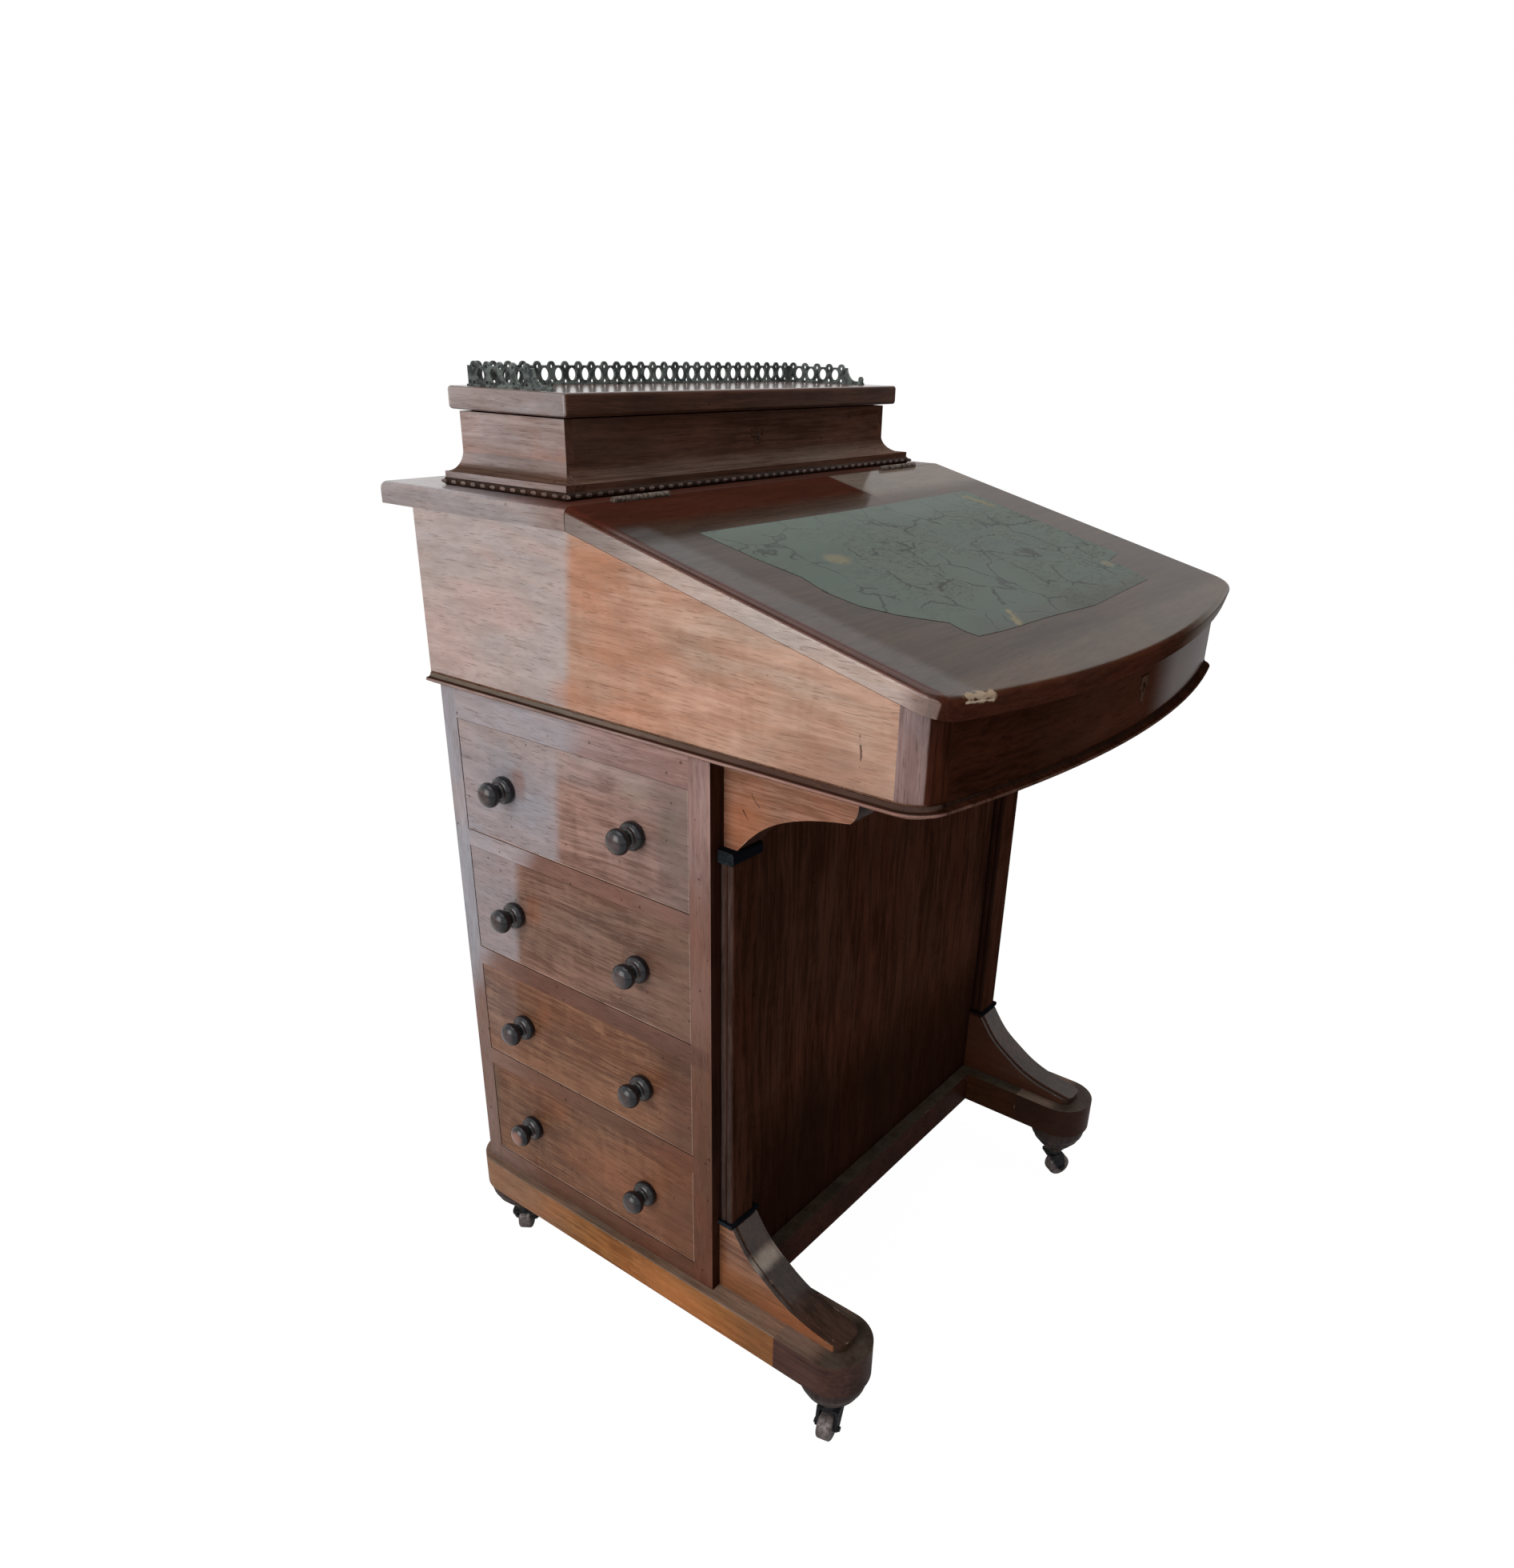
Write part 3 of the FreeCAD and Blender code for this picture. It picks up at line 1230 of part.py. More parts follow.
def writing_box_nodes():
    sides, corners, front = box_walls()
    nodes = {}
    nodes["box_sides"] = sides
    nodes["box_corner_blocks"] = corners
    nodes["box_front"] = [box_front(front)]
    nodes["box_back"] = [box_back()]
    nodes["box_bottom"] = [box_bottom()]
    nodes["waist_moulding"] = waist_moulding()
    nodes["top_board"] = [top_board()]
    nodes["slope_lid"] = [slope_lid()]
    nodes["writing_leather"] = [writing_leather()]
    nodes["slope_link_plate"] = [slope_link_plate()]
    return nodes


def stationery_nodes():
    nodes = {}
    nodes["stationery_walls"] = stationery_walls()
    nodes["stationery_skirt"] = stationery_skirt()
    nodes["bead_strips"] = bead_strips()
    nodes["stationery_lid"] = [stationery_lid()]
    nodes["gallery"] = gallery()
    nodes["stationery_link_plate"] = [stationery_link_plate()]
    return nodes


def hardware_nodes():
    slope_places = (-slope_hinge_x, slope_hinge_x)
    stationery_places = (-stationery_hinge_x, stationery_hinge_x)
    fixed = [slope_leaf(x, False) for x in slope_places]
    fixed += [stationery_leaf(x, False) for x in stationery_places]
    nodes = {}
    nodes["fixed_hinge_leaves"] = fixed
    nodes["slope_hinge_leaves"] = [slope_leaf(x, True) for x in slope_places]
    nodes["stationery_hinge_leaves"] = [stationery_leaf(x, True) for x in stationery_places]
    nodes["lock_cases"] = [lock_case(slope_lock()), lock_case(stationery_lock())]
    nodes["slope_lock_bolt"] = [lock_bolt(slope_lock())]
    nodes["stationery_lock_bolt"] = [lock_bolt(stationery_lock())]
    nodes["keyhole_escutcheons"] = [escutcheon(slope_lock(), box_front_y, slope_escutcheon),
                                    escutcheon(stationery_lock(), stationery_front_y, stationery_escutcheon)]
    return nodes


def export(nodes):
    """Write one STEP file for each node."""
    os.makedirs("parts", exist_ok=True)
    for name, solids in nodes.items():
        shape = solids[0] if len(solids) == 1 else Part.makeCompound(solids)
        shape.exportStep("parts/" + name + ".step")


all_nodes = {}
for group in (base_nodes(), pedestal_nodes(), writing_box_nodes(), stationery_nodes(), hardware_nodes()):
    all_nodes.update(group)
export(all_nodes)
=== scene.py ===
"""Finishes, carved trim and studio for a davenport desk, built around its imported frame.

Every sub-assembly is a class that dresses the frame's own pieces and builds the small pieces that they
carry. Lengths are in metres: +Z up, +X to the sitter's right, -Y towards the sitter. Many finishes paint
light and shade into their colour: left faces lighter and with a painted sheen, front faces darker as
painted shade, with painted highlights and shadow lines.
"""
from __future__ import annotations

import json
import logging
import math
from dataclasses import dataclass, field, replace
from enum import Enum
from typing import Union

import bpy
from mathutils import Matrix, Vector

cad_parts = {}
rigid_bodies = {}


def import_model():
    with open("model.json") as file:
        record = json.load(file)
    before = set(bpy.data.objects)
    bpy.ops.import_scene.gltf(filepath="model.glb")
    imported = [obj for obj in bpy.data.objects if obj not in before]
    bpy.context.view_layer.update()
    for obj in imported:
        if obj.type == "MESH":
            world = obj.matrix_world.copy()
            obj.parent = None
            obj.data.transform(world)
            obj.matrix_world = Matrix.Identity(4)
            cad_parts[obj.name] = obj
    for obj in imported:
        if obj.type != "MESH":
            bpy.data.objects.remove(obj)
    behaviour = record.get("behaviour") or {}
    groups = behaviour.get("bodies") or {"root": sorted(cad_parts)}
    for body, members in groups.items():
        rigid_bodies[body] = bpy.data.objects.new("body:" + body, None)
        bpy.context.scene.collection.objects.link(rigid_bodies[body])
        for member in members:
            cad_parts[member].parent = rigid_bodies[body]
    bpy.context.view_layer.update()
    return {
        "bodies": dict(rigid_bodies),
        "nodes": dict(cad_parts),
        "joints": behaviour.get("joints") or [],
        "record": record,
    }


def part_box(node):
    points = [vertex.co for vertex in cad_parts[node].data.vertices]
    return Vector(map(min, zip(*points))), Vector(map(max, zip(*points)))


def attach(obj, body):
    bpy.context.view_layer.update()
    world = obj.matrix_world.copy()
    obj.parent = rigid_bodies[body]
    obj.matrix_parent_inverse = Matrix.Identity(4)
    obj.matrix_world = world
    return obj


LOG = logging.getLogger("davenport")

Colour = tuple[float, float, float, float]
Point = tuple[float, float, float]
Socket = bpy.types.NodeSocket
Outputs = bpy.types.bpy_prop_collection
Input = Union[float, Point, Colour, Socket]


def srgb(red: int, green: int, blue: int) -> Colour:
    """A colour given in screen bytes.

    Args:
        red: Red byte.
        green: Green byte.
        blue: Blue byte.

    Returns:
        The linear colour with full alpha.
    """
    def linear(byte: int) -> float:
        """One channel from byte to linear."""
        part = byte / 255
        return part / 12.92 if part <= 0.04045 else ((part + 0.055) / 1.055) ** 2.4

    return linear(red), linear(green), linear(blue), 1.0


class Grain(Enum):
    """Direction in which the fibres of a board run, as the turn that lays them along X."""

    ALONG_X = (0.0, 0.0, 0.0)
    ALONG_Y = (0.0, 0.0, math.pi / 2)
    ALONG_Z = (0.0, math.pi / 2, 0.0)


class Facing(Enum):
    """A direction that a face can look in, as the axis of its outward normal."""

    LEFT = (-1.0, 0.0, 0.0)
    RIGHT = (1.0, 0.0, 0.0)
    FRONT = (0.0, -1.0, 0.0)
    BACK = (0.0, 1.0, 0.0)
    UP = (0.0, 0.0, 1.0)
    DOWN = (0.0, 0.0, -1.0)


LEFT, RIGHT, FRONT, BACK, UP, DOWN = (facing.value for facing in Facing)
ORIGIN: Point = (0.0, 0.0, 0.0)
MID_GREY: Point = (0.5, 0.5, 0.5)
BLACK: Colour = (0.0, 0.0, 0.0, 1.0)


# ---------------------------------------------------------------- node shorthand
class Graph:
    """Short calls that build one node tree."""

    def __init__(self, tree: bpy.types.NodeTree) -> None:
        """Keeps the tree that every call adds to."""
        self.tree = tree

    def add(self, kind: str, inputs: Union[dict, None] = None, **settings: object) -> bpy.types.Node:
        """Adds a node.

        Args:
            kind: Type name of the node.
            inputs: Values of its inputs, by name or index.
            settings: Properties to set on it.

        Returns:
            The new node.
        """
        node = self.tree.nodes.new(kind)
        for key, value in settings.items():
            setattr(node, key, value)
        for key, value in (inputs or {}).items():
            self.feed(node.inputs[key], value)
        return node

    def feed(self, socket: Socket, value: Input) -> None:
        """Links a socket to an input, or sets its own value.

        Args:
            socket: Input socket to fill.
            value: Output socket, number, vector or colour.
        """
        if isinstance(value, bpy.types.NodeSocket):
            self.tree.links.new(value, socket)
        else:
            socket.default_value = value

    def math(self, operation: str, first: Input, second: Input = 0.0, clamp: bool = False) -> Socket:
        """The result of one arithmetic step, kept from 0 to 1 where clamp is set."""
        node = self.add("ShaderNodeMath", {0: first, 1: second}, operation=operation, use_clamp=clamp)
        return node.outputs[0]

    def plus(self, first: Input, second: Input, clamp: bool = False) -> Socket:
        """The sum of two numbers."""
        return self.math("ADD", first, second, clamp)

    def minus(self, first: Input, second: Input) -> Socket:
        """The first number less the second."""
        return self.math("SUBTRACT", first, second)

    def times(self, first: Input, second: Input) -> Socket:
        """The product of two numbers."""
        return self.math("MULTIPLY", first, second)

    def vector(self, operation: str, first: Input, second: Input = ORIGIN, output: str = "Vector") -> Socket:
        """The result of one vector step; the output is Vector or Value, whichever the operation gives."""
        node = self.add("ShaderNodeVectorMath", {0: first, 1: second}, operation=operation)
        return node.outputs[output]

    def dot(self, first: Input, second: Input) -> Socket:
        """The dot product of two vectors."""
        return self.vector("DOT_PRODUCT", first, second, "Value")

    def scaled(self, vector: Input, factor: Input) -> Socket:
        """A vector times one number."""
        node = self.add("ShaderNodeVectorMath", {0: vector, "Scale": factor}, operation="SCALE")
        return node.outputs["Vector"]

    def ramp(self, value: Input, low: Input, high: Input, to_low: float = 0.0,
             to_high: float = 1.0) -> Socket:
        """Smooth step of a value from to_low, at the level low, to to_high, at the level high."""
        levels = {"Value": value, "From Min": low, "From Max": high, "To Min": to_low, "To Max": to_high}
        return self.add("ShaderNodeMapRange", levels, interpolation_type="SMOOTHSTEP").outputs["Result"]

    def mix(self, factor: Input, first: Input, second: Input, blend: str = "MIX") -> Socket:
        """Blend of two colours, of which the factor is the share of the second."""
        return self.add("ShaderNodeMix", {0: factor, 6: first, 7: second}, data_type="RGBA",
                        blend_type=blend, clamp_factor=True).outputs[2]

    def tinted(self, colour: Input, tint: Input) -> Socket:
        """A colour times another."""
        return self.mix(1.0, colour, tint, "MULTIPLY")

    def noise(self, vector: Input, scale: Input, detail: float = 3.0, rough: float = 0.5,
              twist: float = 0.0) -> Socket:
        """Fractal noise about 0.5, with a scale in cells per metre and a detail in octaves."""
        return self.add("ShaderNodeTexNoise", {"Vector": vector, "Scale": scale, "Detail": detail,
                                               "Roughness": rough, "Distortion": twist}).outputs[0]

    def use(self, group: bpy.types.NodeTree, **values: Input) -> Outputs:
        """The outputs of an effect group, whose inputs are given by name."""
        return self.add("ShaderNodeGroup", values, node_tree=group).outputs


def emptied(owner: Union[bpy.types.Material, bpy.types.World]) -> bpy.types.NodeTree:
    """Clears the nodes of a material or a world.

    Args:
        owner: The material or world.

    Returns:
        Its empty tree.
    """
    owner.use_nodes = True
    owner.node_tree.nodes.clear()
    return owner.node_tree


# ---------------------------------------------------------------- shared effects
class Group(Graph):
    """A shared effect while it is built. Its inputs are read by name, as in group["Scale"]."""

    def __init__(self, name: str, inputs: dict[str, Input], *outputs: str) -> None:
        """Starts a group.

        Args:
            name: Name of the group.
            inputs: Value of each input by its name.
            outputs: Names of the outputs. One named Colour is a colour, and every other is a number.
        """
        super().__init__(bpy.data.node_groups.new(name, "ShaderNodeTree"))
        kinds = {3: "NodeSocketVector", 4: "NodeSocketColor"}
        for label, value in inputs.items():
            kind = kinds[len(value)] if isinstance(value, tuple) else "NodeSocketFloat"
            socket = self.tree.interface.new_socket(name=label, in_out="INPUT", socket_type=kind)
            socket.default_value = value
        for label in outputs:
            kind = "NodeSocketColor" if label == "Colour" else "NodeSocketFloat"
            self.tree.interface.new_socket(name=label, in_out="OUTPUT", socket_type=kind)
        self.given = self.add("NodeGroupInput").outputs

    def __getitem__(self, name: str) -> Socket:
        """The group's input of that name."""
        return self.given[name]

    def close(self, **values: Input) -> bpy.types.NodeTree:
        """Feeds the outputs, by their names, and gives the finished tree."""
        self.add("NodeGroupOutput", values)
        return self.tree


class Effects:
    """The node groups that several finishes share, each built once."""

    def __init__(self) -> None:
        """Builds every group."""
        self.grain = self._grain()
        self.patch = self._patch()
        self.crack = self._crack()
        self.rub = self._rub()
        self.dust = self._dust()
        self.facing = self._facing()
        self.speckle = self._speckle()
        self.clouds = self._clouds()

    @staticmethod
    def _grain() -> bpy.types.NodeTree:
        """Timber with its fibres along X: broad figure, fine fibres and open pores.

        Returns:
            The group.
        """
        group = Group("timber grain", {"Vector": ORIGIN, "Scale": 1.0, "Wander": 0.02, "Curl": 0.3},
                      "Figure", "Fibre", "Pores", "Height")

        def streaks(place: Socket, cells: Point, *detail: float) -> Socket:
            """Noise with its own cells per metre along each axis, long ones along the fibres."""
            return group.noise(group.vector("MULTIPLY", place, cells), 1.0, *detail)

        place = group.scaled(group["Vector"], group["Scale"])
        drift = group.minus(streaks(place, (3.0, 9.0, 9.0), 2.0), 0.5)
        drift = group.times(drift, group["Wander"])
        offset = group.add("ShaderNodeCombineXYZ", {"Y": drift, "Z": drift}).outputs[0]
        bent = group.vector("ADD", place, offset)
        figure = streaks(bent, (4.0, 26.0, 26.0), 3.0, 0.55, 0.6)
        ripple = streaks(bent, (38.0, 14.0, 14.0), 2.0, 0.5, 1.0)
        figure = group.plus(figure, group.times(group.minus(ripple, 0.5), group["Curl"]), clamp=True)
        fibre = streaks(bent, (12.0, 260.0, 260.0), 4.0, 0.65)
        pores = group.ramp(streaks(bent, (55.0, 900.0, 900.0), 2.0, 0.6), 0.57, 0.68)
        return group.close(Figure=group.ramp(figure, 0.32, 0.68), Fibre=group.ramp(fibre, 0.38, 0.62),
                           Pores=pores, Height=group.minus(group.times(fibre, 0.35), pores))

    @staticmethod
    def _patch() -> bpy.types.NodeTree:
        """Ragged-edged ellipsoid mask, for stains, knots, chips, painted highlights and painted shadows.

        Returns:
            The group.
        """
        group = Group("patch", {"Vector": ORIGIN, "Centre": ORIGIN, "Radii": (1.0, 1.0, 1.0), "Soft": 0.3,
                                "Ragged": 0.4, "Scale": 80.0}, "Mask")
        away = group.vector("SUBTRACT", group["Vector"], group["Centre"])
        away = group.vector("DIVIDE", away, group["Radii"])
        distance = group.vector("LENGTH", away, output="Value")
        rag = group.minus(group.noise(group["Vector"], group["Scale"], 4.0, 0.6), 0.5)
        rag = group.times(rag, group["Ragged"])
        distance = group.plus(distance, group.times(rag, 2.0))
        edge = group.ramp(distance, group.minus(1.0, group["Soft"]), group.plus(1.0, group["Soft"]))
        return group.close(Mask=group.minus(1.0, edge))

    @staticmethod
    def _crack() -> bpy.types.NodeTree:
        """Wandering line mask from one point to another.

        Returns:
            The group.
        """
        group = Group("crack", {"Vector": ORIGIN, "Start": ORIGIN, "Run": (0.1, 0.0, 0.0), "Width": 0.001,
                                "Wander": 0.004, "Scale": 90.0}, "Mask")
        swirl = group.add("ShaderNodeTexNoise", {"Vector": group["Vector"], "Scale": group["Scale"]})
        shift = group.vector("SUBTRACT", swirl.outputs["Color"], MID_GREY)
        shift = group.scaled(shift, group.times(group["Wander"], 2.0))
        place = group.vector("ADD", group["Vector"], shift)
        away = group.vector("SUBTRACT", place, group["Start"])
        along, length = group.dot(away, group["Run"]), group.dot(group["Run"], group["Run"])
        foot = group.scaled(group["Run"], group.math("DIVIDE", along, length, clamp=True))
        distance = group.vector("DISTANCE", away, foot, "Value")
        broken = group.ramp(group.noise(group["Vector"], 160.0, 2.0), 0.3, 0.6, 0.35, 1.2)
        width = group.times(group["Width"], broken)
        return group.close(Mask=group.minus(1.0, group.ramp(distance, group.times(width, 0.3), width)))

    @staticmethod
    def _rub() -> bpy.types.NodeTree:
        """Mask along sharp edges, broken up by noise, for rubbed and chipped corners.

        Returns:
            The group.
        """
        group = Group("rubbed edges", {"Vector": ORIGIN, "Amount": 0.5, "Scale": 60.0}, "Mask")
        soft = group.add("ShaderNodeBevel", {"Radius": 0.0016}, samples=4).outputs[0]
        sharp = group.add("ShaderNodeNewGeometry").outputs["Normal"]
        edge = group.ramp(group.dot(soft, sharp), 0.995, 0.90)
        broken = group.noise(group["Vector"], group["Scale"], 4.0, 0.65)
        limit = group.minus(0.78, group.times(group["Amount"], 0.5))
        return group.close(Mask=group.times(edge, group.ramp(broken, limit, group.plus(limit, 0.12))))

    @staticmethod
    def _dust() -> bpy.types.NodeTree:
        """Mask of upward faces, patchy as settled dust is.

        Returns:
            The group.
        """
        group = Group("settled dust", {"Vector": ORIGIN, "Normal": UP, "Amount": 0.5}, "Mask")
        lean = group.add("ShaderNodeSeparateXYZ", {0: group["Normal"]}).outputs["Z"]
        patchy = group.ramp(group.noise(group["Vector"], 45.0, 5.0, 0.65), 0.30, 0.68)
        film = group.times(patchy, group["Amount"])
        return group.close(Mask=group.times(group.ramp(lean, 0.55, 0.95), film))

    @staticmethod
    def _facing() -> bpy.types.NodeTree:
        """Mask of the faces that look along one axis of the object.

        Returns:
            The group.
        """
        group = Group("facing", {"Normal": UP, "Axis": UP, "Low": 0.55, "High": 0.85}, "Mask")
        lean = group.dot(group["Normal"], group["Axis"])
        return group.close(Mask=group.ramp(lean, group["Low"], group["High"]))

    @staticmethod
    def _speckle() -> bpy.types.NodeTree:
        """Small pits and fly spots of several sizes.

        Returns:
            The group.
        """
        group = Group("speckle", {"Vector": ORIGIN, "Scale": 120.0, "Amount": 0.3}, "Mask")
        cells = group.add("ShaderNodeTexVoronoi", {"Vector": group["Vector"], "Scale": group["Scale"]})
        chance = group.add("ShaderNodeSeparateColor", {0: cells.outputs["Color"]}).outputs[0]
        keep = group.ramp(chance, group.minus(1.0, group["Amount"]), 1.0)
        size = group.times(keep, 0.30)
        dot = group.ramp(cells.outputs["Distance"], size, group.times(size, 0.4))
        return group.close(Mask=group.times(dot, group.ramp(keep, 0.0, 0.02)))

    @staticmethod
    def _clouds() -> bpy.types.NodeTree:
        """Colour that drifts from warm to cool and from dark to light, as old polish does.

        Returns:
            The group.
        """
        group = Group("clouded polish", {"Vector": ORIGIN, "Colour": (0.5, 0.5, 0.5, 1.0), "Amount": 0.5},
                      "Colour")
        place = group.vector("MULTIPLY", group["Vector"], (0.45, 1.0, 1.0))
        wide = group.ramp(group.noise(place, 13.0, 4.0, 0.6, 0.8), 0.34, 0.66)
        cast = group.mix(wide, (0.91, 1.00, 1.04, 1.0), (1.10, 1.00, 0.95, 1.0))
        moved = group.vector("ADD", group.vector("MULTIPLY", place, (0.5, 1.0, 1.0)), (3.1, 1.7, 0.4))
        small = group.ramp(group.noise(moved, 95.0, 5.0, 0.7, 0.5), 0.30, 0.70)
        level = group.mix(small, (0.84, 0.83, 0.82, 1.0), (1.15, 1.16, 1.17, 1.0))
        whole = group.tinted(group["Colour"], group.tinted(cast, level))
        return group.close(Colour=group.mix(group["Amount"], group["Colour"], whole))


class Surface(Graph):
    """One material while it is built, with the place and the normal of each of its points."""

    def __init__(self, name: str, effects: Effects) -> None:
        """Starts an empty material.

        Args:
            name: Name of the material.
            effects: Shared groups.
        """
        self.material = bpy.data.materials.new(name)
        super().__init__(emptied(self.material))
        self.effects = effects
        coords = self.add("ShaderNodeTexCoord").outputs
        self.place, self.normal = coords["Object"], coords["Normal"]

    def looking(self, facing: Facing, low: float, high: float) -> Socket:
        """Mask of the faces that look one way, none at a lean of low and whole at a lean of high."""
        axis = facing.value
        return self.use(self.effects.facing, Normal=self.normal, Axis=axis, Low=low, High=high)[0]

    def finish(self, height: Input, strength: float, depth: float, **inputs: Input) -> bpy.types.Material:
        """Adds the bump, the shader and the output.

        Args:
            height: Height of the surface, for its bump.
            strength: Strength of the bump.
            depth: Depth of the bump.
            inputs: Inputs of the shader by name, with an underscore for a space.

        Returns:
            The material.
        """
        bump = self.add("ShaderNodeBump", {"Strength": strength, "Distance": depth, "Height": height})
        named = {name.replace("_", " "): value for name, value in inputs.items()}
        shader = self.add("ShaderNodeBsdfPrincipled", {"Normal": bump.outputs[0], **named})
        self.add("ShaderNodeOutputMaterial", {"Surface": shader.outputs[0]})
        return self.material


# ---------------------------------------------------------------- marks on a surface
@dataclass(frozen=True)
class Mark:
    """Base of the marks that lie on a surface, each kept inside the zones of other marks."""

    within: tuple = field(default=(), kw_only=True)

    def mask(self, on: Surface) -> Socket:
        """Where the mark is, from 0 to its strength.

        Args:
            on: The surface.

        Returns:
            The mask's socket.
        """
        raise NotImplementedError

    def kept(self, on: Surface) -> Socket:
        """The mask as far as it lies inside every zone of `within`, as Mark.mask says."""
        mask = self.mask(on)
        for zone in self.within:
            mask = on.times(mask, zone.mask(on))
        return mask

    def lay(self, on: Surface, colour: Socket) -> Socket:
        """The colour with the mark laid over it."""
        return on.mix(self.kept(on), colour, self.colour)


@dataclass(frozen=True)
class Patch(Mark):
    """Stains, knots, chips, painted highlights and painted shadows: each a ragged ellipsoid of another
    colour.
    """

    centre: Point
    radii: Point
    colour: Colour
    strength: float = 0.8
    soft: float = 0.35
    ragged: float = 0.35
    scale: float = 80.0

    def mask(self, on: Surface) -> Socket:
        """Mask of the patch, as Mark.mask says."""
        spot = on.use(on.effects.patch, Vector=on.place, Centre=self.centre, Radii=self.radii,
                      Soft=self.soft, Ragged=self.ragged, Scale=self.scale)
        return on.times(spot[0], self.strength)


@dataclass(frozen=True)
class Crack(Mark):
    """A scratch, crack or joint line: a wandering thin line of another colour."""

    start: Point
    end: Point
    width: float
    colour: Colour
    strength: float = 0.9
    wander: float = 0.003
    scale: float = 90.0

    def mask(self, on: Surface) -> Socket:
        """Mask of the line, as Mark.mask says."""
        run = tuple(b - a for a, b in zip(self.start, self.end))
        line = on.use(on.effects.crack, Vector=on.place, Start=self.start, Run=run, Width=self.width,
                      Wander=self.wander, Scale=self.scale)
        return on.times(line[0], self.strength)


@dataclass(frozen=True)
class Slab(Mark):
    """A zone on one side of a plane, for painted sheen, painted shade and colour that drifts across a board.

    A slab that only bounds other marks or the polish needs no colour.
    """

    normal: Point
    start: float
    end: float
    colour: Colour = BLACK
    strength: float = 0.6
    ragged: float = 0.0

    def mask(self, on: Surface) -> Socket:
        """Mask of the zone, as Mark.mask says."""
        reach = on.dot(on.place, self.normal)
        if self.ragged:
            wave = on.minus(on.noise(on.place, 30.0, 4.0, 0.6), 0.5)
            reach = on.plus(reach, on.times(wave, self.ragged))
        return on.times(on.ramp(reach, self.start, self.end), self.strength)


@dataclass(frozen=True)
class Band(Mark):
    """A zone between two levels along one axis, such as the bead of a moulding."""

    normal: Point
    low: float
    high: float
    colour: Colour
    strength: float = 0.8
    soft: float = 0.0004

    def mask(self, on: Surface) -> Socket:
        """Mask of the zone, as Mark.mask says."""
        reach = on.dot(on.place, self.normal)
        above = on.ramp(reach, self.low - self.soft, self.low + self.soft)
        under = on.ramp(reach, self.high + self.soft, self.high - self.soft)
        return on.times(on.times(above, under), self.strength)


@dataclass(frozen=True)
class Aspect(Mark):
    """Every face that looks one way, as a zone without a colour of its own."""

    facing: Facing
    strength: float = 1.0
    low: float = 0.5
    high: float = 0.8

    def mask(self, on: Surface) -> Socket:
        """Mask of the faces, as Mark.mask says."""
        return on.times(on.looking(self.facing, self.low, self.high), self.strength)


@dataclass(frozen=True)
class Tone:
    """The dark and the light colour between which a timber varies."""

    deep: Colour
    light: Colour


def shades(*levels: int) -> Tone:
    """The tone between two colours given in screen bytes, the three of the dark one first."""
    return Tone(srgb(*levels[:3]), srgb(*levels[3:]))


@dataclass(frozen=True)
class FaceTone:
    """Another tone, with its own marks, on the faces that look one way: mostly a lighter or darker copy of
    the timber, painted for how the light falls on those faces.
    """

    tone: Tone
    marks: tuple = ()
    low: float = 0.55
    high: float = 0.85
    facing: Facing = Facing.LEFT


# ---------------------------------------------------------------- finishes
FIGURE_SPREAD = 1.6
FIBRE_SHARE = 0.52
PORE_TINT: Colour = (0.35, 0.28, 0.25, 1.0)
SPOT_TINT: Colour = (0.30, 0.26, 0.24, 1.0)
SPOT_CELLS = 150.0
SPOT_SHARE = 0.7
PORE_ROUGH = 0.12
SMEAR_CELLS = 14.0
SMEAR_ROUGH = 0.14
DUST_ROUGH = 0.4
GRAIN_DEPTH = 0.0006


@dataclass(frozen=True)
class Figure:
    """How the grain of a timber is drawn."""

    scale: float = 1.0
    wander: float = 0.02
    curl: float = 0.3
    contrast: float = 0.8
    pores: float = 0.6


QUIET = Figure(1.0, 0.02, 0.2, 0.8, 0.4)
PINE = Figure(0.8)


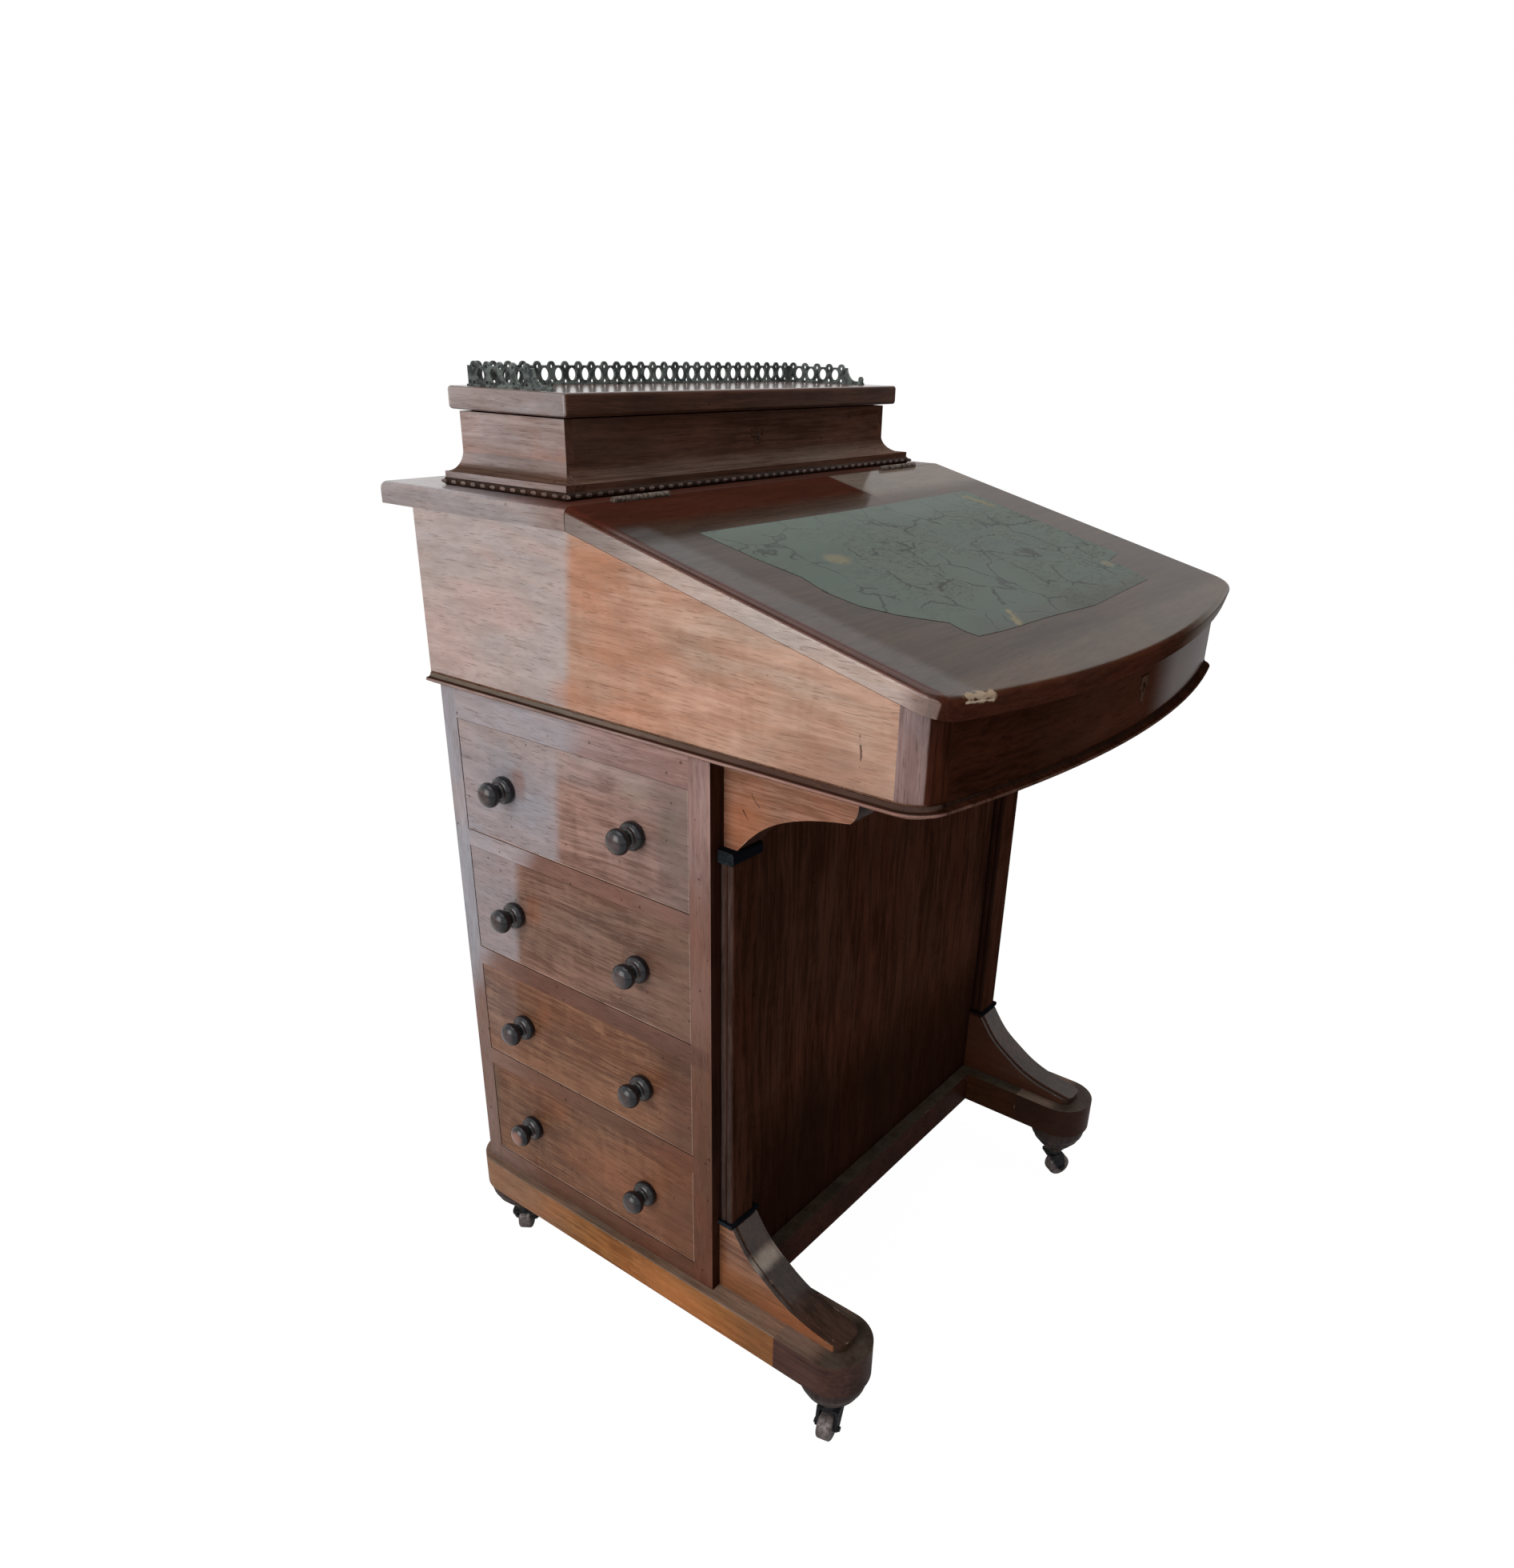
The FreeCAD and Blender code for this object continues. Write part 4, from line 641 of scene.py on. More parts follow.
@dataclass(frozen=True)
class Timber:
    """Polished timber, with its figure, pores, marks, rubbed edges and dust."""

    name: str
    tone: Tone
    grain: Grain = Grain.ALONG_Y
    figure: Figure = Figure()
    roughness: float = 0.42
    specular: float = 0.3
    coat: float = 0.0
    coat_roughness: float = 0.1
    faces: tuple = ()
    marks: tuple = ()
    edge: Union[Colour, None] = None
    edge_amount: float = 0.4
    dust: float = 0.0
    dust_colour: Colour = srgb(150, 140, 132)
    bump: float = 0.12
    speckle: float = 0.05
    rails: Union[tuple[float, float], None] = None
    ends: Union[float, None] = None
    dull: tuple = ()
    clouds: float = 0.8

    def _laid(self, on: Surface) -> Socket:
        """Turns the place so that the fibres lie along X.

        Between the limits of `rails`, and beyond `ends` to either side, the fibres run along Y instead.

        Args:
            on: The surface.

        Returns:
            The turned place.
        """
        def turned(grain: Grain) -> Socket:
            """The place for one direction of the fibres."""
            return on.add("ShaderNodeMapping", {"Rotation": grain.value, "Vector": on.place}).outputs[0]

        if self.rails:
            low, high = self.rails
            away = on.math("ABSOLUTE", on.minus(on.dot(on.place, BACK), (low + high) / 2))
            turn = on.math("LESS_THAN", away, (high - low) / 2)
        elif self.ends:
            turn = on.math("GREATER_THAN", on.math("ABSOLUTE", on.dot(on.place, RIGHT)), self.ends)
        else:
            return turned(self.grain)
        ways = {0: turn, 4: turned(self.grain), 5: turned(Grain.ALONG_Y)}
        return on.add("ShaderNodeMix", ways, data_type="VECTOR").outputs[1]

    def _polish(self, on: Surface) -> Input:
        """Weight of the polish, less where it is worn away.

        Args:
            on: The surface.

        Returns:
            The plain weight, or a mask's socket.
        """
        weight: Input = self.coat
        for mark in self.dull:
            weight = on.times(weight, on.minus(1.0, mark.kept(on)))
        return weight

    def _marked(self, on: Surface, tone: Tone, marks: tuple, lie: Outputs) -> Socket:
        """Colour of the timber for one tone, with its marks.

        Args:
            on: The surface.
            tone: Dark and light colour.
            marks: Marks to lay over it.
            lie: The grain group's outputs.

        Returns:
            The colour's socket.
        """
        share = on.plus(on.times(lie["Figure"], 1.0 - FIBRE_SHARE), on.times(lie["Fibre"], FIBRE_SHARE))
        share = on.times(on.minus(share, 0.5), self.figure.contrast * FIGURE_SPREAD)
        colour = on.mix(on.plus(share, 0.5, clamp=True), tone.deep, tone.light)
        for mark in marks:
            colour = mark.lay(on, colour)
        return colour

    def build(self, effects: Effects) -> bpy.types.Material:
        """Builds the material.

        Args:
            effects: Shared groups.

        Returns:
            The material.
        """
        on = Surface(self.name, effects)
        laid = self._laid(on)
        figure = self.figure
        lie = on.use(effects.grain, Vector=laid, Scale=figure.scale, Wander=figure.wander, Curl=figure.curl)
        pores = lie["Pores"]
        colour = self._marked(on, self.tone, self.marks, lie)
        for face in self.faces:
            side = on.looking(face.facing, face.low, face.high)
            colour = on.mix(side, colour, self._marked(on, face.tone, face.marks, lie))
        colour = on.use(effects.clouds, Vector=laid, Colour=colour, Amount=self.clouds)[0]
        colour = on.mix(on.times(pores, figure.pores), colour, on.tinted(colour, PORE_TINT))
        if self.speckle:
            spots = on.use(effects.speckle, Vector=on.place, Scale=SPOT_CELLS, Amount=self.speckle)
            colour = on.mix(on.times(spots[0], SPOT_SHARE), colour, on.tinted(colour, SPOT_TINT))
        if self.edge:
            rub = on.use(effects.rub, Vector=on.place, Amount=self.edge_amount)
            colour = on.mix(rub[0], colour, self.edge)
        smear = on.minus(on.noise(on.place, SMEAR_CELLS, 4.0, 0.6), 0.5)
        rough = on.plus(on.plus(self.roughness, on.times(pores, PORE_ROUGH)), on.times(smear, SMEAR_ROUGH))
        if self.dust:
            film = on.use(effects.dust, Vector=on.place, Normal=on.normal, Amount=self.dust)[0]
            colour = on.mix(film, colour, self.dust_colour)
            rough = on.plus(rough, on.times(film, DUST_ROUGH), clamp=True)
        return on.finish(lie["Height"], self.bump, GRAIN_DEPTH, Base_Color=colour, Roughness=rough,
                         Specular_IOR_Level=self.specular, Coat_Weight=self._polish(on),
                         Coat_Roughness=self.coat_roughness)


@dataclass(frozen=True)
class Metal:
    """Old metal with a mottled, tarnished skin. Mottle and rub_cells are in cells per metre."""

    name: str
    bright: Colour
    dull: Colour
    metallic: float = 0.9
    roughness: float = 0.42
    mottle: float = 220.0
    specular: float = 0.5
    edge: Union[Colour, None] = None
    rub: float = 0.6
    rub_cells: float = 150.0
    skin_rough: float = 0.2
    bump: float = 0.25
    depth: float = 0.0003

    def build(self, effects: Effects) -> bpy.types.Material:
        """Builds the material.

        Args:
            effects: Shared groups.

        Returns:
            The material.
        """
        on = Surface(self.name, effects)
        spots = on.noise(on.place, self.mottle, 5.0, 0.65)
        skin = on.ramp(spots, 0.38, 0.62)
        colour = on.mix(skin, self.bright, self.dull)
        if self.edge:
            rub = on.use(effects.rub, Vector=on.place, Amount=self.rub, Scale=self.rub_cells)
            colour = on.mix(rub[0], colour, self.edge)
        rough = on.plus(self.roughness, on.times(skin, self.skin_rough))
        return on.finish(spots, self.bump, self.depth, Base_Color=colour, Metallic=self.metallic,
                         Roughness=rough, Specular_IOR_Level=self.specular)


@dataclass(frozen=True)
class WritingLeather:
    """Old dyed leather: pebbled, creased, cracked and stained. Cells are given per metre."""

    name: str = "writing leather"
    dye: Colour = srgb(62, 74, 66)
    faded: Colour = srgb(80, 87, 77)
    crease: Colour = srgb(26, 30, 27)
    marks: tuple = ()
    roughness: float = 0.55
    specular: float = 0.3
    bump: float = 0.35
    cloud_cells: float = 14.0
    fold_cells: float = 34.0
    fold_width: float = 0.022
    split_cells: float = 21.0
    split_width: float = 0.050
    split_bend: float = 0.045
    pebble_cells: float = 900.0

    def _folds(self, on: Surface) -> Socket:
        """Mask of fine wrinkles, in some zones only, as Mark.mask says."""
        stretched = on.vector("MULTIPLY", on.place, (1.0, 2.2, 2.2))
        fold = on.math("ABSOLUTE", on.minus(on.noise(stretched, self.fold_cells, 6.0, 0.68, 1.4), 0.5))
        zone = on.ramp(on.noise(on.place, 7.0, 3.0, 0.5), 0.42, 0.62)
        return on.times(on.ramp(fold, self.fold_width, 0.0), zone)

    def _splits(self, on: Surface) -> Socket:
        """Mask of long cracks along the edges of bent cells, as Mark.mask says."""
        swirl = on.add("ShaderNodeTexNoise", {"Vector": on.place, "Scale": 26.0, "Detail": 4.0})
        shift = on.scaled(on.vector("SUBTRACT", swirl.outputs["Color"], MID_GREY), self.split_bend)
        bent = {"Vector": on.vector("ADD", on.place, shift), "Scale": self.split_cells}
        cells = on.add("ShaderNodeTexVoronoi", bent, feature="DISTANCE_TO_EDGE")
        width = on.ramp(on.noise(on.place, 24.0, 3.0, 0.5), 0.40, 0.56, 0.0, self.split_width)
        return on.ramp(cells.outputs["Distance"], width, 0.0)

    def build(self, effects: Effects) -> bpy.types.Material:
        """Builds the material.

        Args:
            effects: Shared groups.

        Returns:
            The material.
        """
        on = Surface(self.name, effects)
        cloud = on.ramp(on.noise(on.place, self.cloud_cells, 5.0, 0.6), 0.32, 0.70)
        crease = on.math("MAXIMUM", self._folds(on), self._splits(on))
        colour = on.mix(on.times(crease, 0.95), on.mix(cloud, self.dye, self.faded), self.crease)
        for mark in self.marks:
            colour = mark.lay(on, colour)
        pebble = on.add("ShaderNodeTexVoronoi", {"Vector": on.place, "Scale": self.pebble_cells})
        height = on.minus(on.times(pebble.outputs["Distance"], 0.4), on.times(crease, 2.2))
        rough = on.plus(self.roughness, on.times(cloud, 0.12))
        return on.finish(height, self.bump, GRAIN_DEPTH, Base_Color=colour, Roughness=rough,
                         Specular_IOR_Level=self.specular)


# ---------------------------------------------------------------- dressing
@dataclass
class Assembly:
    """Base of every sub-assembly: it dresses frame pieces and reports them."""

    frame: dict
    effects: Effects

    def dress(self, finish: Union[Timber, Metal, WritingLeather], *nodes: str) -> None:
        """Gives frame pieces one finish.

        Args:
            finish: The finish to build.
            nodes: Names of the pieces.
        """
        material = finish.build(self.effects)
        for name in nodes:
            mesh = self.frame["nodes"][name].data
            mesh.materials.clear()
            mesh.materials.append(material)
            LOG.info("dressed %s in %s", name, finish.name)


def settle(piece: bpy.types.Object) -> None:
    """Turns a piece's evaluated modifiers into its plain mesh.

    Args:
        piece: Piece whose modifiers are to be applied.
    """
    graph = bpy.context.evaluated_depsgraph_get()
    mesh = bpy.data.meshes.new_from_object(piece.evaluated_get(graph), depsgraph=graph)
    piece.modifiers.clear()
    piece.data = mesh


# The slanting plane beyond which the rear of the left faces carries a painted sheen.
SHEEN_NORMAL = (-1.06, 1.0, 0.0867)
SHEEN_START = 0.41737


def painted_sheen(strength: float, colour: Colour, shift: float = 0.0) -> Slab:
    """A painted sheen, standing in for a reflection of the light, over the rear of a left face beyond one
    slanting plane that a shift moves further back.
    """
    start = SHEEN_START + shift
    return Slab(SHEEN_NORMAL, start - 0.008, start + 0.006, colour, strength, 0.006)


def lowered(height: float, depth: float, colour: Colour, strength: float) -> Slab:
    """Colour that starts below a height and is whole at a depth under it."""
    return Slab(DOWN, -height, depth - height, colour, strength)


# ---------------------------------------------------------------- sub-assemblies
@dataclass
class WritingBox(Assembly):
    """The sloping box, its lid, leather, moulding and top board."""

    # Tones of one mahogany: the side tone is the left faces painted lighter as lit, the dark and russet tones
    # are painted darker as shade on the front and on the corners' turn, and the grey colour is that of the
    # painted sheen.
    side: Tone = shades(160, 121, 99, 190, 156, 137)
    sheen: Colour = srgb(171, 158, 156)
    dark: Tone = shades(40, 20, 13, 66, 36, 25)
    russet: Tone = shades(50, 26, 19, 74, 42, 31)
    polish: Tone = shades(46, 21, 15, 78, 44, 33)
    side_x: float = -0.268
    surface: float = 0.8017
    joint: float = 0.0668
    fall: float = 0.24451

    def build(self) -> None:
        """Dresses the box."""
        self._sides()
        self._front()
        self._moulding()
        self._lid()
        self._leather()

    def _sides(self) -> None:
        """Dresses the two sides and the back, their left faces painted lighter as lit and the rear of the
        left side greyed by a painted sheen.
        """
        orange = srgb(176, 116, 86)
        x, reach = self.side_x, 0.02
        marks = (
            Patch((x, 0.040, 0.766), (reach, 0.034, 0.016), orange, 0.55, 0.6, 0.5, 40.0),
            Patch((x, 0.056, 0.745), (reach, 0.024, 0.014), orange, 0.5, 0.6, 0.5, 40.0),
            Patch((x, 0.030, 0.685), (reach, 0.050, 0.055), orange, 0.4, 0.8, 0.5, 30.0),
            # painted sheen: the rear of the left side greyed as a reflection of the light
            painted_sheen(0.78, self.sheen),
            Patch((x, 0.072, 0.660), (reach, 0.018, 0.010), orange, 0.5, 0.7, 0.4, 30.0),
            Patch((x, -0.180, 0.652), (reach, 0.060, 0.024), srgb(146, 108, 90), 0.55, 0.7, 0.4, 40.0),
            Crack((x, -0.2014, 0.6861), (x, -0.2027, 0.6646), 0.0010, srgb(70, 44, 36), 0.9, 0.002),
        )
        side = Timber("box side mahogany", shades(92, 54, 40, 128, 82, 62), Grain.ALONG_Y,
                      Figure(1.0, 0.03, 0.5, 0.60, 0.45), roughness=0.40, specular=0.15,
                      faces=(FaceTone(self.side, marks),))
        self.dress(side, "box_sides")
        self.dress(replace(side, name="box back mahogany", grain=Grain.ALONG_X), "box_back")

    def _front(self) -> None:
        """Dresses the corner blocks, the bowed front and the bottom."""
        # On the corner blocks the flat left side is painted lighter and lilac as lit with sheen, the turn is
        # russet as painted shade, and the front keeps the dark, shaded tone.
        lilac = shades(122, 100, 97, 142, 122, 120)
        turned = (FaceTone(self.russet, low=0.50, high=0.62), FaceTone(lilac, low=0.68, high=0.74))
        self.dress(Timber("corner block mahogany", self.dark, Grain.ALONG_Z, Figure(1.0, 0.02, 0.2, 0.8, 0.5),
                          roughness=0.40, specular=0.0, faces=turned), "box_corner_blocks")
        self.dress(Timber("bowed front mahogany", self.dark, Grain.ALONG_X, Figure(0.9, 0.03, 0.4, 0.55, 0.5),
                          roughness=0.50, specular=0.0, coat=0.70, coat_roughness=0.16,
                          # painted light: the front is lighter from the middle rightwards
                          marks=(Slab(RIGHT, -0.19, -0.05, srgb(78, 47, 35), 0.75),),
                          dull=(Slab(LEFT, -0.10, -0.02, strength=1.0),)), "box_front")
        # The bottom's left edge is painted lighter as lit; its upper and lower faces are pine.
        left = FaceTone(shades(96, 68, 54, 128, 96, 80))
        above = FaceTone(shades(96, 70, 46, 132, 100, 70), facing=Facing.UP)
        below = replace(above, facing=Facing.DOWN)
        self.dress(Timber("box bottom pine", self.dark, Grain.ALONG_X, PINE, roughness=0.6, specular=0.0,
                          faces=(left, above, below)), "box_bottom")

    def _moulding(self) -> None:
        """Dresses the waist moulding: a bead painted lighter and with sheen on its left faces, under a hollow
        that is dusty olive on the left and darker towards the front, with painted shadow lines at the
        hollow's foot and under the bead; on the front the hollow is painted dark as shade.
        """
        hollow = (0.6434, 0.6475)
        red = Slab(FRONT, -0.06, 0.14, strength=0.85)
        bead = FaceTone(shades(124, 102, 94, 158, 138, 132),
                        (Slab(FRONT, -0.02, 0.18, srgb(142, 100, 88), 0.7),
                         Band(UP, *hollow, srgb(106, 95, 85), 0.95),
                         Band(UP, *hollow, srgb(70, 45, 38), 0.9, within=(red,)),
                         Band(UP, 0.6430, 0.6440, srgb(44, 32, 27), 0.85, 0.0003),
                         Band(UP, 0.6395, 0.6410, srgb(52, 38, 34), 0.85, 0.0003)), 0.15, 0.4)
        front = FaceTone(shades(60, 38, 30, 104, 76, 64), (Band(UP, *hollow, srgb(36, 22, 17), 0.9),),
                         facing=Facing.FRONT)
        self.dress(Timber("waist moulding mahogany", self.dark, Grain.ALONG_Y,
                          Figure(1.0, 0.01, 0.1, 0.7, 0.5), roughness=0.40, specular=0.0,
                          faces=(front, bead)), "waist_moulding")

    def _lid(self) -> None:
        """Dresses the slope lid and the top board with a high polish, dull beside their joint. Their colours
        carry painted light: lighter left faces, darker front faces, painted sheens, a painted dark reflection
        beside the lid's joint and painted shade on the rounded edges.
        """
        # The lid's left faces are painted lighter as lit with sheen, darker at the rear and the front end,
        # with painted shade along the rounded top edge and at the front corner.
        side = FaceTone(shades(164, 145, 135, 188, 171, 163),
                        (Slab(BACK, -0.05, 0.06, srgb(118, 100, 94), 0.85),
                         Slab(FRONT, 0.224, 0.247, srgb(112, 88, 80), 0.85),
                         Slab((0.0, -0.2375, 0.9714), 0.7588, 0.7596, srgb(84, 44, 32), 0.9),
                         Slab(FRONT, 0.2645, 0.2665, srgb(70, 37, 28), 0.9)), 0.80, 0.84)
        # russet: the turn of the corners, painted darker as shade
        russet = FaceTone(self.russet, low=0.50, high=0.66)
        chip = (Crack((-0.2470, -0.2640, 0.7198), (-0.2240, -0.2695, 0.7178), 0.0050, srgb(164, 145, 124),
                      0.95, 0.0007, 70.0),
                Crack((-0.2490, -0.2660, 0.7170), (-0.2240, -0.2720, 0.7145), 0.0014, srgb(200, 182, 160),
                      0.8, 0.0005, 70.0))
        # The front faces keep a darker, shaded tone, painted lighter towards the right end as a sheen.
        front = FaceTone(shades(50, 26, 20, 80, 46, 33),
                         (Slab(RIGHT, 0.02, 0.16, srgb(92, 74, 58), 0.8), *chip), 0.35, 0.75, Facing.FRONT)
        left, right = Slab(LEFT, -0.069, -0.062, strength=1.0), Slab(RIGHT, 0.062, 0.069, strength=1.0)
        # A painted dark reflection on the left part beside the joint, where the polish is also dulled.
        wear_and_painted_light = Slab(BACK, 0.010, 0.034, srgb(66, 35, 26), 1.0, 0.006, within=(left,))
        near = Slab(FRONT, -0.03, -0.01, strength=1.0)
        # Painted sheens near the front edge, at the rear left and at the rear right beside the joint, and
        # painted shade along the top's rounded left edge.
        marks = (Slab(FRONT, 0.240, 0.262, srgb(94, 78, 66), 0.6),
                 Slab(LEFT, 0.225, 0.240, srgb(96, 90, 88), 0.6, 0.01, within=(near,)),
                 wear_and_painted_light,
                 Slab(BACK, 0.0, 0.03, srgb(118, 104, 94), 0.8, within=(right,)),
                 Band(RIGHT, -0.2700, -0.2600, srgb(74, 36, 27), 0.9, 0.0012), *chip)
        edge_on = Aspect(Facing.FRONT, 1.0, 0.35, 0.6, within=(Slab(LEFT, -0.17, -0.05, strength=1.0),))
        lid = Timber("polished lid mahogany", shades(48, 34, 26, 74, 56, 45), Grain.ALONG_X,
                     Figure(1.0, 0.02, 0.3, 0.45, 0.45), roughness=0.36, specular=0.0, coat=0.42,
                     coat_roughness=0.12, faces=(front, russet, side), marks=marks, speckle=0.08,
                     ends=0.2668, dull=(wear_and_painted_light, edge_on, *chip))
        self.dress(lid, "slope_lid")
        # The top board's left edge is painted lighter as lit, warmer towards the front.
        plain = FaceTone(shades(138, 122, 118, 162, 149, 146),
                         (Slab(FRONT, -0.12, -0.07, srgb(138, 106, 96), 0.6),))
        # A painted sheen greys the top board towards the left rear.
        board_sheen = Slab((-1.0, 1.0, 0.0), 0.33, 0.47, srgb(150, 142, 144), 0.85)
        rubbed = Slab(FRONT, -0.135, -0.100, strength=0.85, ragged=0.01)
        self.dress(replace(lid, name="polished board mahogany", tone=self.polish, specular=0.1, coat=0.40,
                           faces=(plain,), marks=(board_sheen,), dull=(rubbed,)), "top_board")

    def _seat(self, x: float, y: float) -> Point:
        """A point on the slope over a place in plan."""
        return x, y, self.surface - (self.joint - y) * self.fall

    def _leather(self) -> None:
        """Dresses the writing leather with its stains and cracks."""
        ochre, black = srgb(118, 106, 76), srgb(34, 38, 36)
        seat = self._seat
        self.dress(WritingLeather(marks=(
            Slab(FRONT, 0.185, 0.225, srgb(62, 62, 57), 0.75, 0.03),
            Slab(BACK, -0.07, 0.0, srgb(92, 102, 95), 0.6, 0.06),
            Patch(seat(-0.126, -0.080), (0.012, 0.009, 0.02), ochre, 0.6, 0.4, 0.4),
            Crack(seat(-0.073, -0.202), seat(-0.088, -0.219), 0.006, ochre, 0.8, 0.004),
            Crack(seat(0.184, -0.018), seat(0.190, -0.038), 0.008, ochre, 0.7, 0.004),
            Patch(seat(0.155, -0.182), (0.007, 0.006, 0.01), ochre, 0.6, 0.3, 0.3),
            Crack(seat(-0.058, -0.074), seat(-0.057, -0.112), 0.0016, black, 0.9, 0.005),
            Crack(seat(-0.057, -0.112), seat(-0.070, -0.157), 0.0016, black, 0.9, 0.005),
            Crack(seat(-0.128, -0.088), seat(-0.112, -0.106), 0.0014, black, 0.8, 0.004),
            Crack(seat(-0.020, -0.150), seat(-0.017, -0.192), 0.0014, black, 0.8, 0.005),
            Crack(seat(-0.053, -0.190), seat(-0.036, -0.209), 0.0014, black, 0.8, 0.004),
            Crack(seat(0.120, -0.042), seat(0.084, -0.033), 0.0014, black, 0.7, 0.004),
        )), "writing_leather")


@dataclass
class StationeryBox(Assembly):
    """The low box behind the slope, with its hinged lid, carved beads and pierced gallery."""

    # The end tone is the left faces painted lighter as lit; the front tone is the same mahogany painted
    # darker as shade.
    front: Tone = shades(76, 48, 38, 108, 75, 62)
    end: Tone = shades(148, 127, 121, 172, 155, 152)
    pitch: float = 0.0115
    bead: Point = (0.0050, 0.0011, 0.0017)
    sunk: float = 0.6
    strip_rear: float = 0.2354
    strip_middle: float = 0.8047

    def build(self) -> None:
        """Dresses the box and carves its bead strips."""
        orange = lowered(0.840, 0.014, srgb(160, 126, 112), 0.5)
        self.dress(Timber("stationery box mahogany", self.front, Grain.ALONG_X, QUIET, specular=0.0,
                          faces=(FaceTone(self.end, (orange,)),),
                          marks=(Slab(LEFT, -0.05, 0.20, srgb(102, 74, 64), 0.5),), ends=0.2140),
                   "stationery_walls")
        # The skirt's left ends are painted lighter as lit, and its upward hollow is lighter as lit from
        # above, lighter again towards the right.
        end = FaceTone(shades(134, 117, 112, 158, 143, 140))
        hollow = FaceTone(shades(78, 58, 48, 108, 86, 76), (Slab(RIGHT, 0.0, 0.12, srgb(122, 102, 90), 0.6),),
                          0.15, 0.8, Facing.UP)
        self.dress(Timber("stationery skirt mahogany", shades(70, 46, 36, 100, 70, 57), Grain.ALONG_X,
                          Figure(1.0, 0.01, 0.1, 0.8, 0.4), roughness=0.38, specular=0.0, coat_roughness=0.2,
                          faces=(hollow, end), ends=0.2215), "stationery_skirt")
        # The lid's left edge is painted lighter as lit.
        self.dress(Timber("stationery lid mahogany", shades(52, 30, 22, 80, 52, 40), Grain.ALONG_X, QUIET,
                          roughness=0.36, specular=0.05, coat=0.75, coat_roughness=0.12,
                          faces=(FaceTone(shades(132, 116, 112, 152, 139, 137)),), speckle=0.08, ends=0.2290,
                          dull=(Aspect(Facing.FRONT),)), "stationery_lid")
        self.dress(Timber("bead strip", shades(34, 21, 16, 56, 38, 30), Grain.ALONG_X, specular=0.05),
                   "bead_strips")
        self.dress(Metal("verdigris brass", srgb(98, 104, 101), srgb(46, 49, 49), metallic=0.45,
                         roughness=0.5, mottle=120.0, specular=0.3, edge=srgb(134, 144, 137)), "gallery")
        self._carve()

    def _carve(self) -> None:
        """Sets carved lozenges along the strips of the front and both ends."""
        # The lozenges are lighter than their strip: partly wear, partly painted highlights on their tops.
        wear_and_painted_light = Timber("carved lozenge", shades(66, 48, 40, 118, 98, 90), specular=0.2,
                      roughness=0.35).build(self.effects)
        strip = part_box("bead_strips")
        inset = self.bead[1] * self.sunk
        half = strip[1][0] - inset
        front = strip[0][1] + inset
        corners = ((-half, self.strip_rear), (-half, front), (half, front), (half, self.strip_rear))
        curve = bpy.data.meshes.new("bead path")
        curve.from_pydata([(*corner, self.strip_middle) for corner in corners], [(0, 1), (1, 2), (2, 3)], [])
        beads = bpy.data.objects.new("carved_lozenges", curve)
        bpy.context.scene.collection.objects.link(beads)
        modifier = beads.modifiers.new("beads", "NODES")
        modifier.node_group = self._bead_tree(wear_and_painted_light)
        sizes = {"Pitch": self.pitch, "Size": self.bead}
        for item in modifier.node_group.interface.items_tree:
            if item.name in sizes:
                modifier[item.identifier] = sizes[item.name]
        settle(beads)
        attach(beads, "desk")
        LOG.info("carved %d faces of lozenges", len(beads.data.polygons))

    @staticmethod
    def _bead_tree(material: bpy.types.Material) -> bpy.types.NodeTree:
        """Builds the tree that sets a lozenge at every pitch along a path of edges.

        Args:
            material: Finish of the lozenges.

        Returns:
            The tree.
        """
        tree = bpy.data.node_groups.new("lozenge run", "GeometryNodeTree")
        for name, side, kind in (("Geometry", "INPUT", "Geometry"), ("Pitch", "INPUT", "Float"),
                                 ("Size", "INPUT", "Vector"), ("Geometry", "OUTPUT", "Geometry")):
            tree.interface.new_socket(name=name, in_out=side, socket_type=f"NodeSocket{kind}")
        graph = Graph(tree)
        given = graph.add("NodeGroupInput").outputs
        split = graph.add("GeometryNodeSplitEdges", {"Mesh": given["Geometry"]}).outputs["Mesh"]
        curve = graph.add("GeometryNodeMeshToCurve", {"Mesh": split}).outputs["Curve"]
        points = graph.add("GeometryNodeCurveToPoints", {"Curve": curve, "Length": given["Pitch"]},
                           mode="LENGTH").outputs
        ball = graph.add("GeometryNodeMeshUVSphere", {"Segments": 6, "Rings": 4, "Radius": 1.0})
        along = graph.add("FunctionNodeAlignRotationToVector", {"Vector": points["Tangent"]}, axis="X")
        placed = graph.add("GeometryNodeInstanceOnPoints", {
            "Points": points["Points"], "Instance": ball.outputs["Mesh"],
            "Rotation": along.outputs["Rotation"], "Scale": given["Size"]})
        real = graph.add("GeometryNodeRealizeInstances", {0: placed.outputs[0]})
        dressed = graph.add("GeometryNodeSetMaterial", {"Geometry": real.outputs[0], "Material": material})
        graph.add("NodeGroupOutput", {0: dressed.outputs[0]})
        return tree


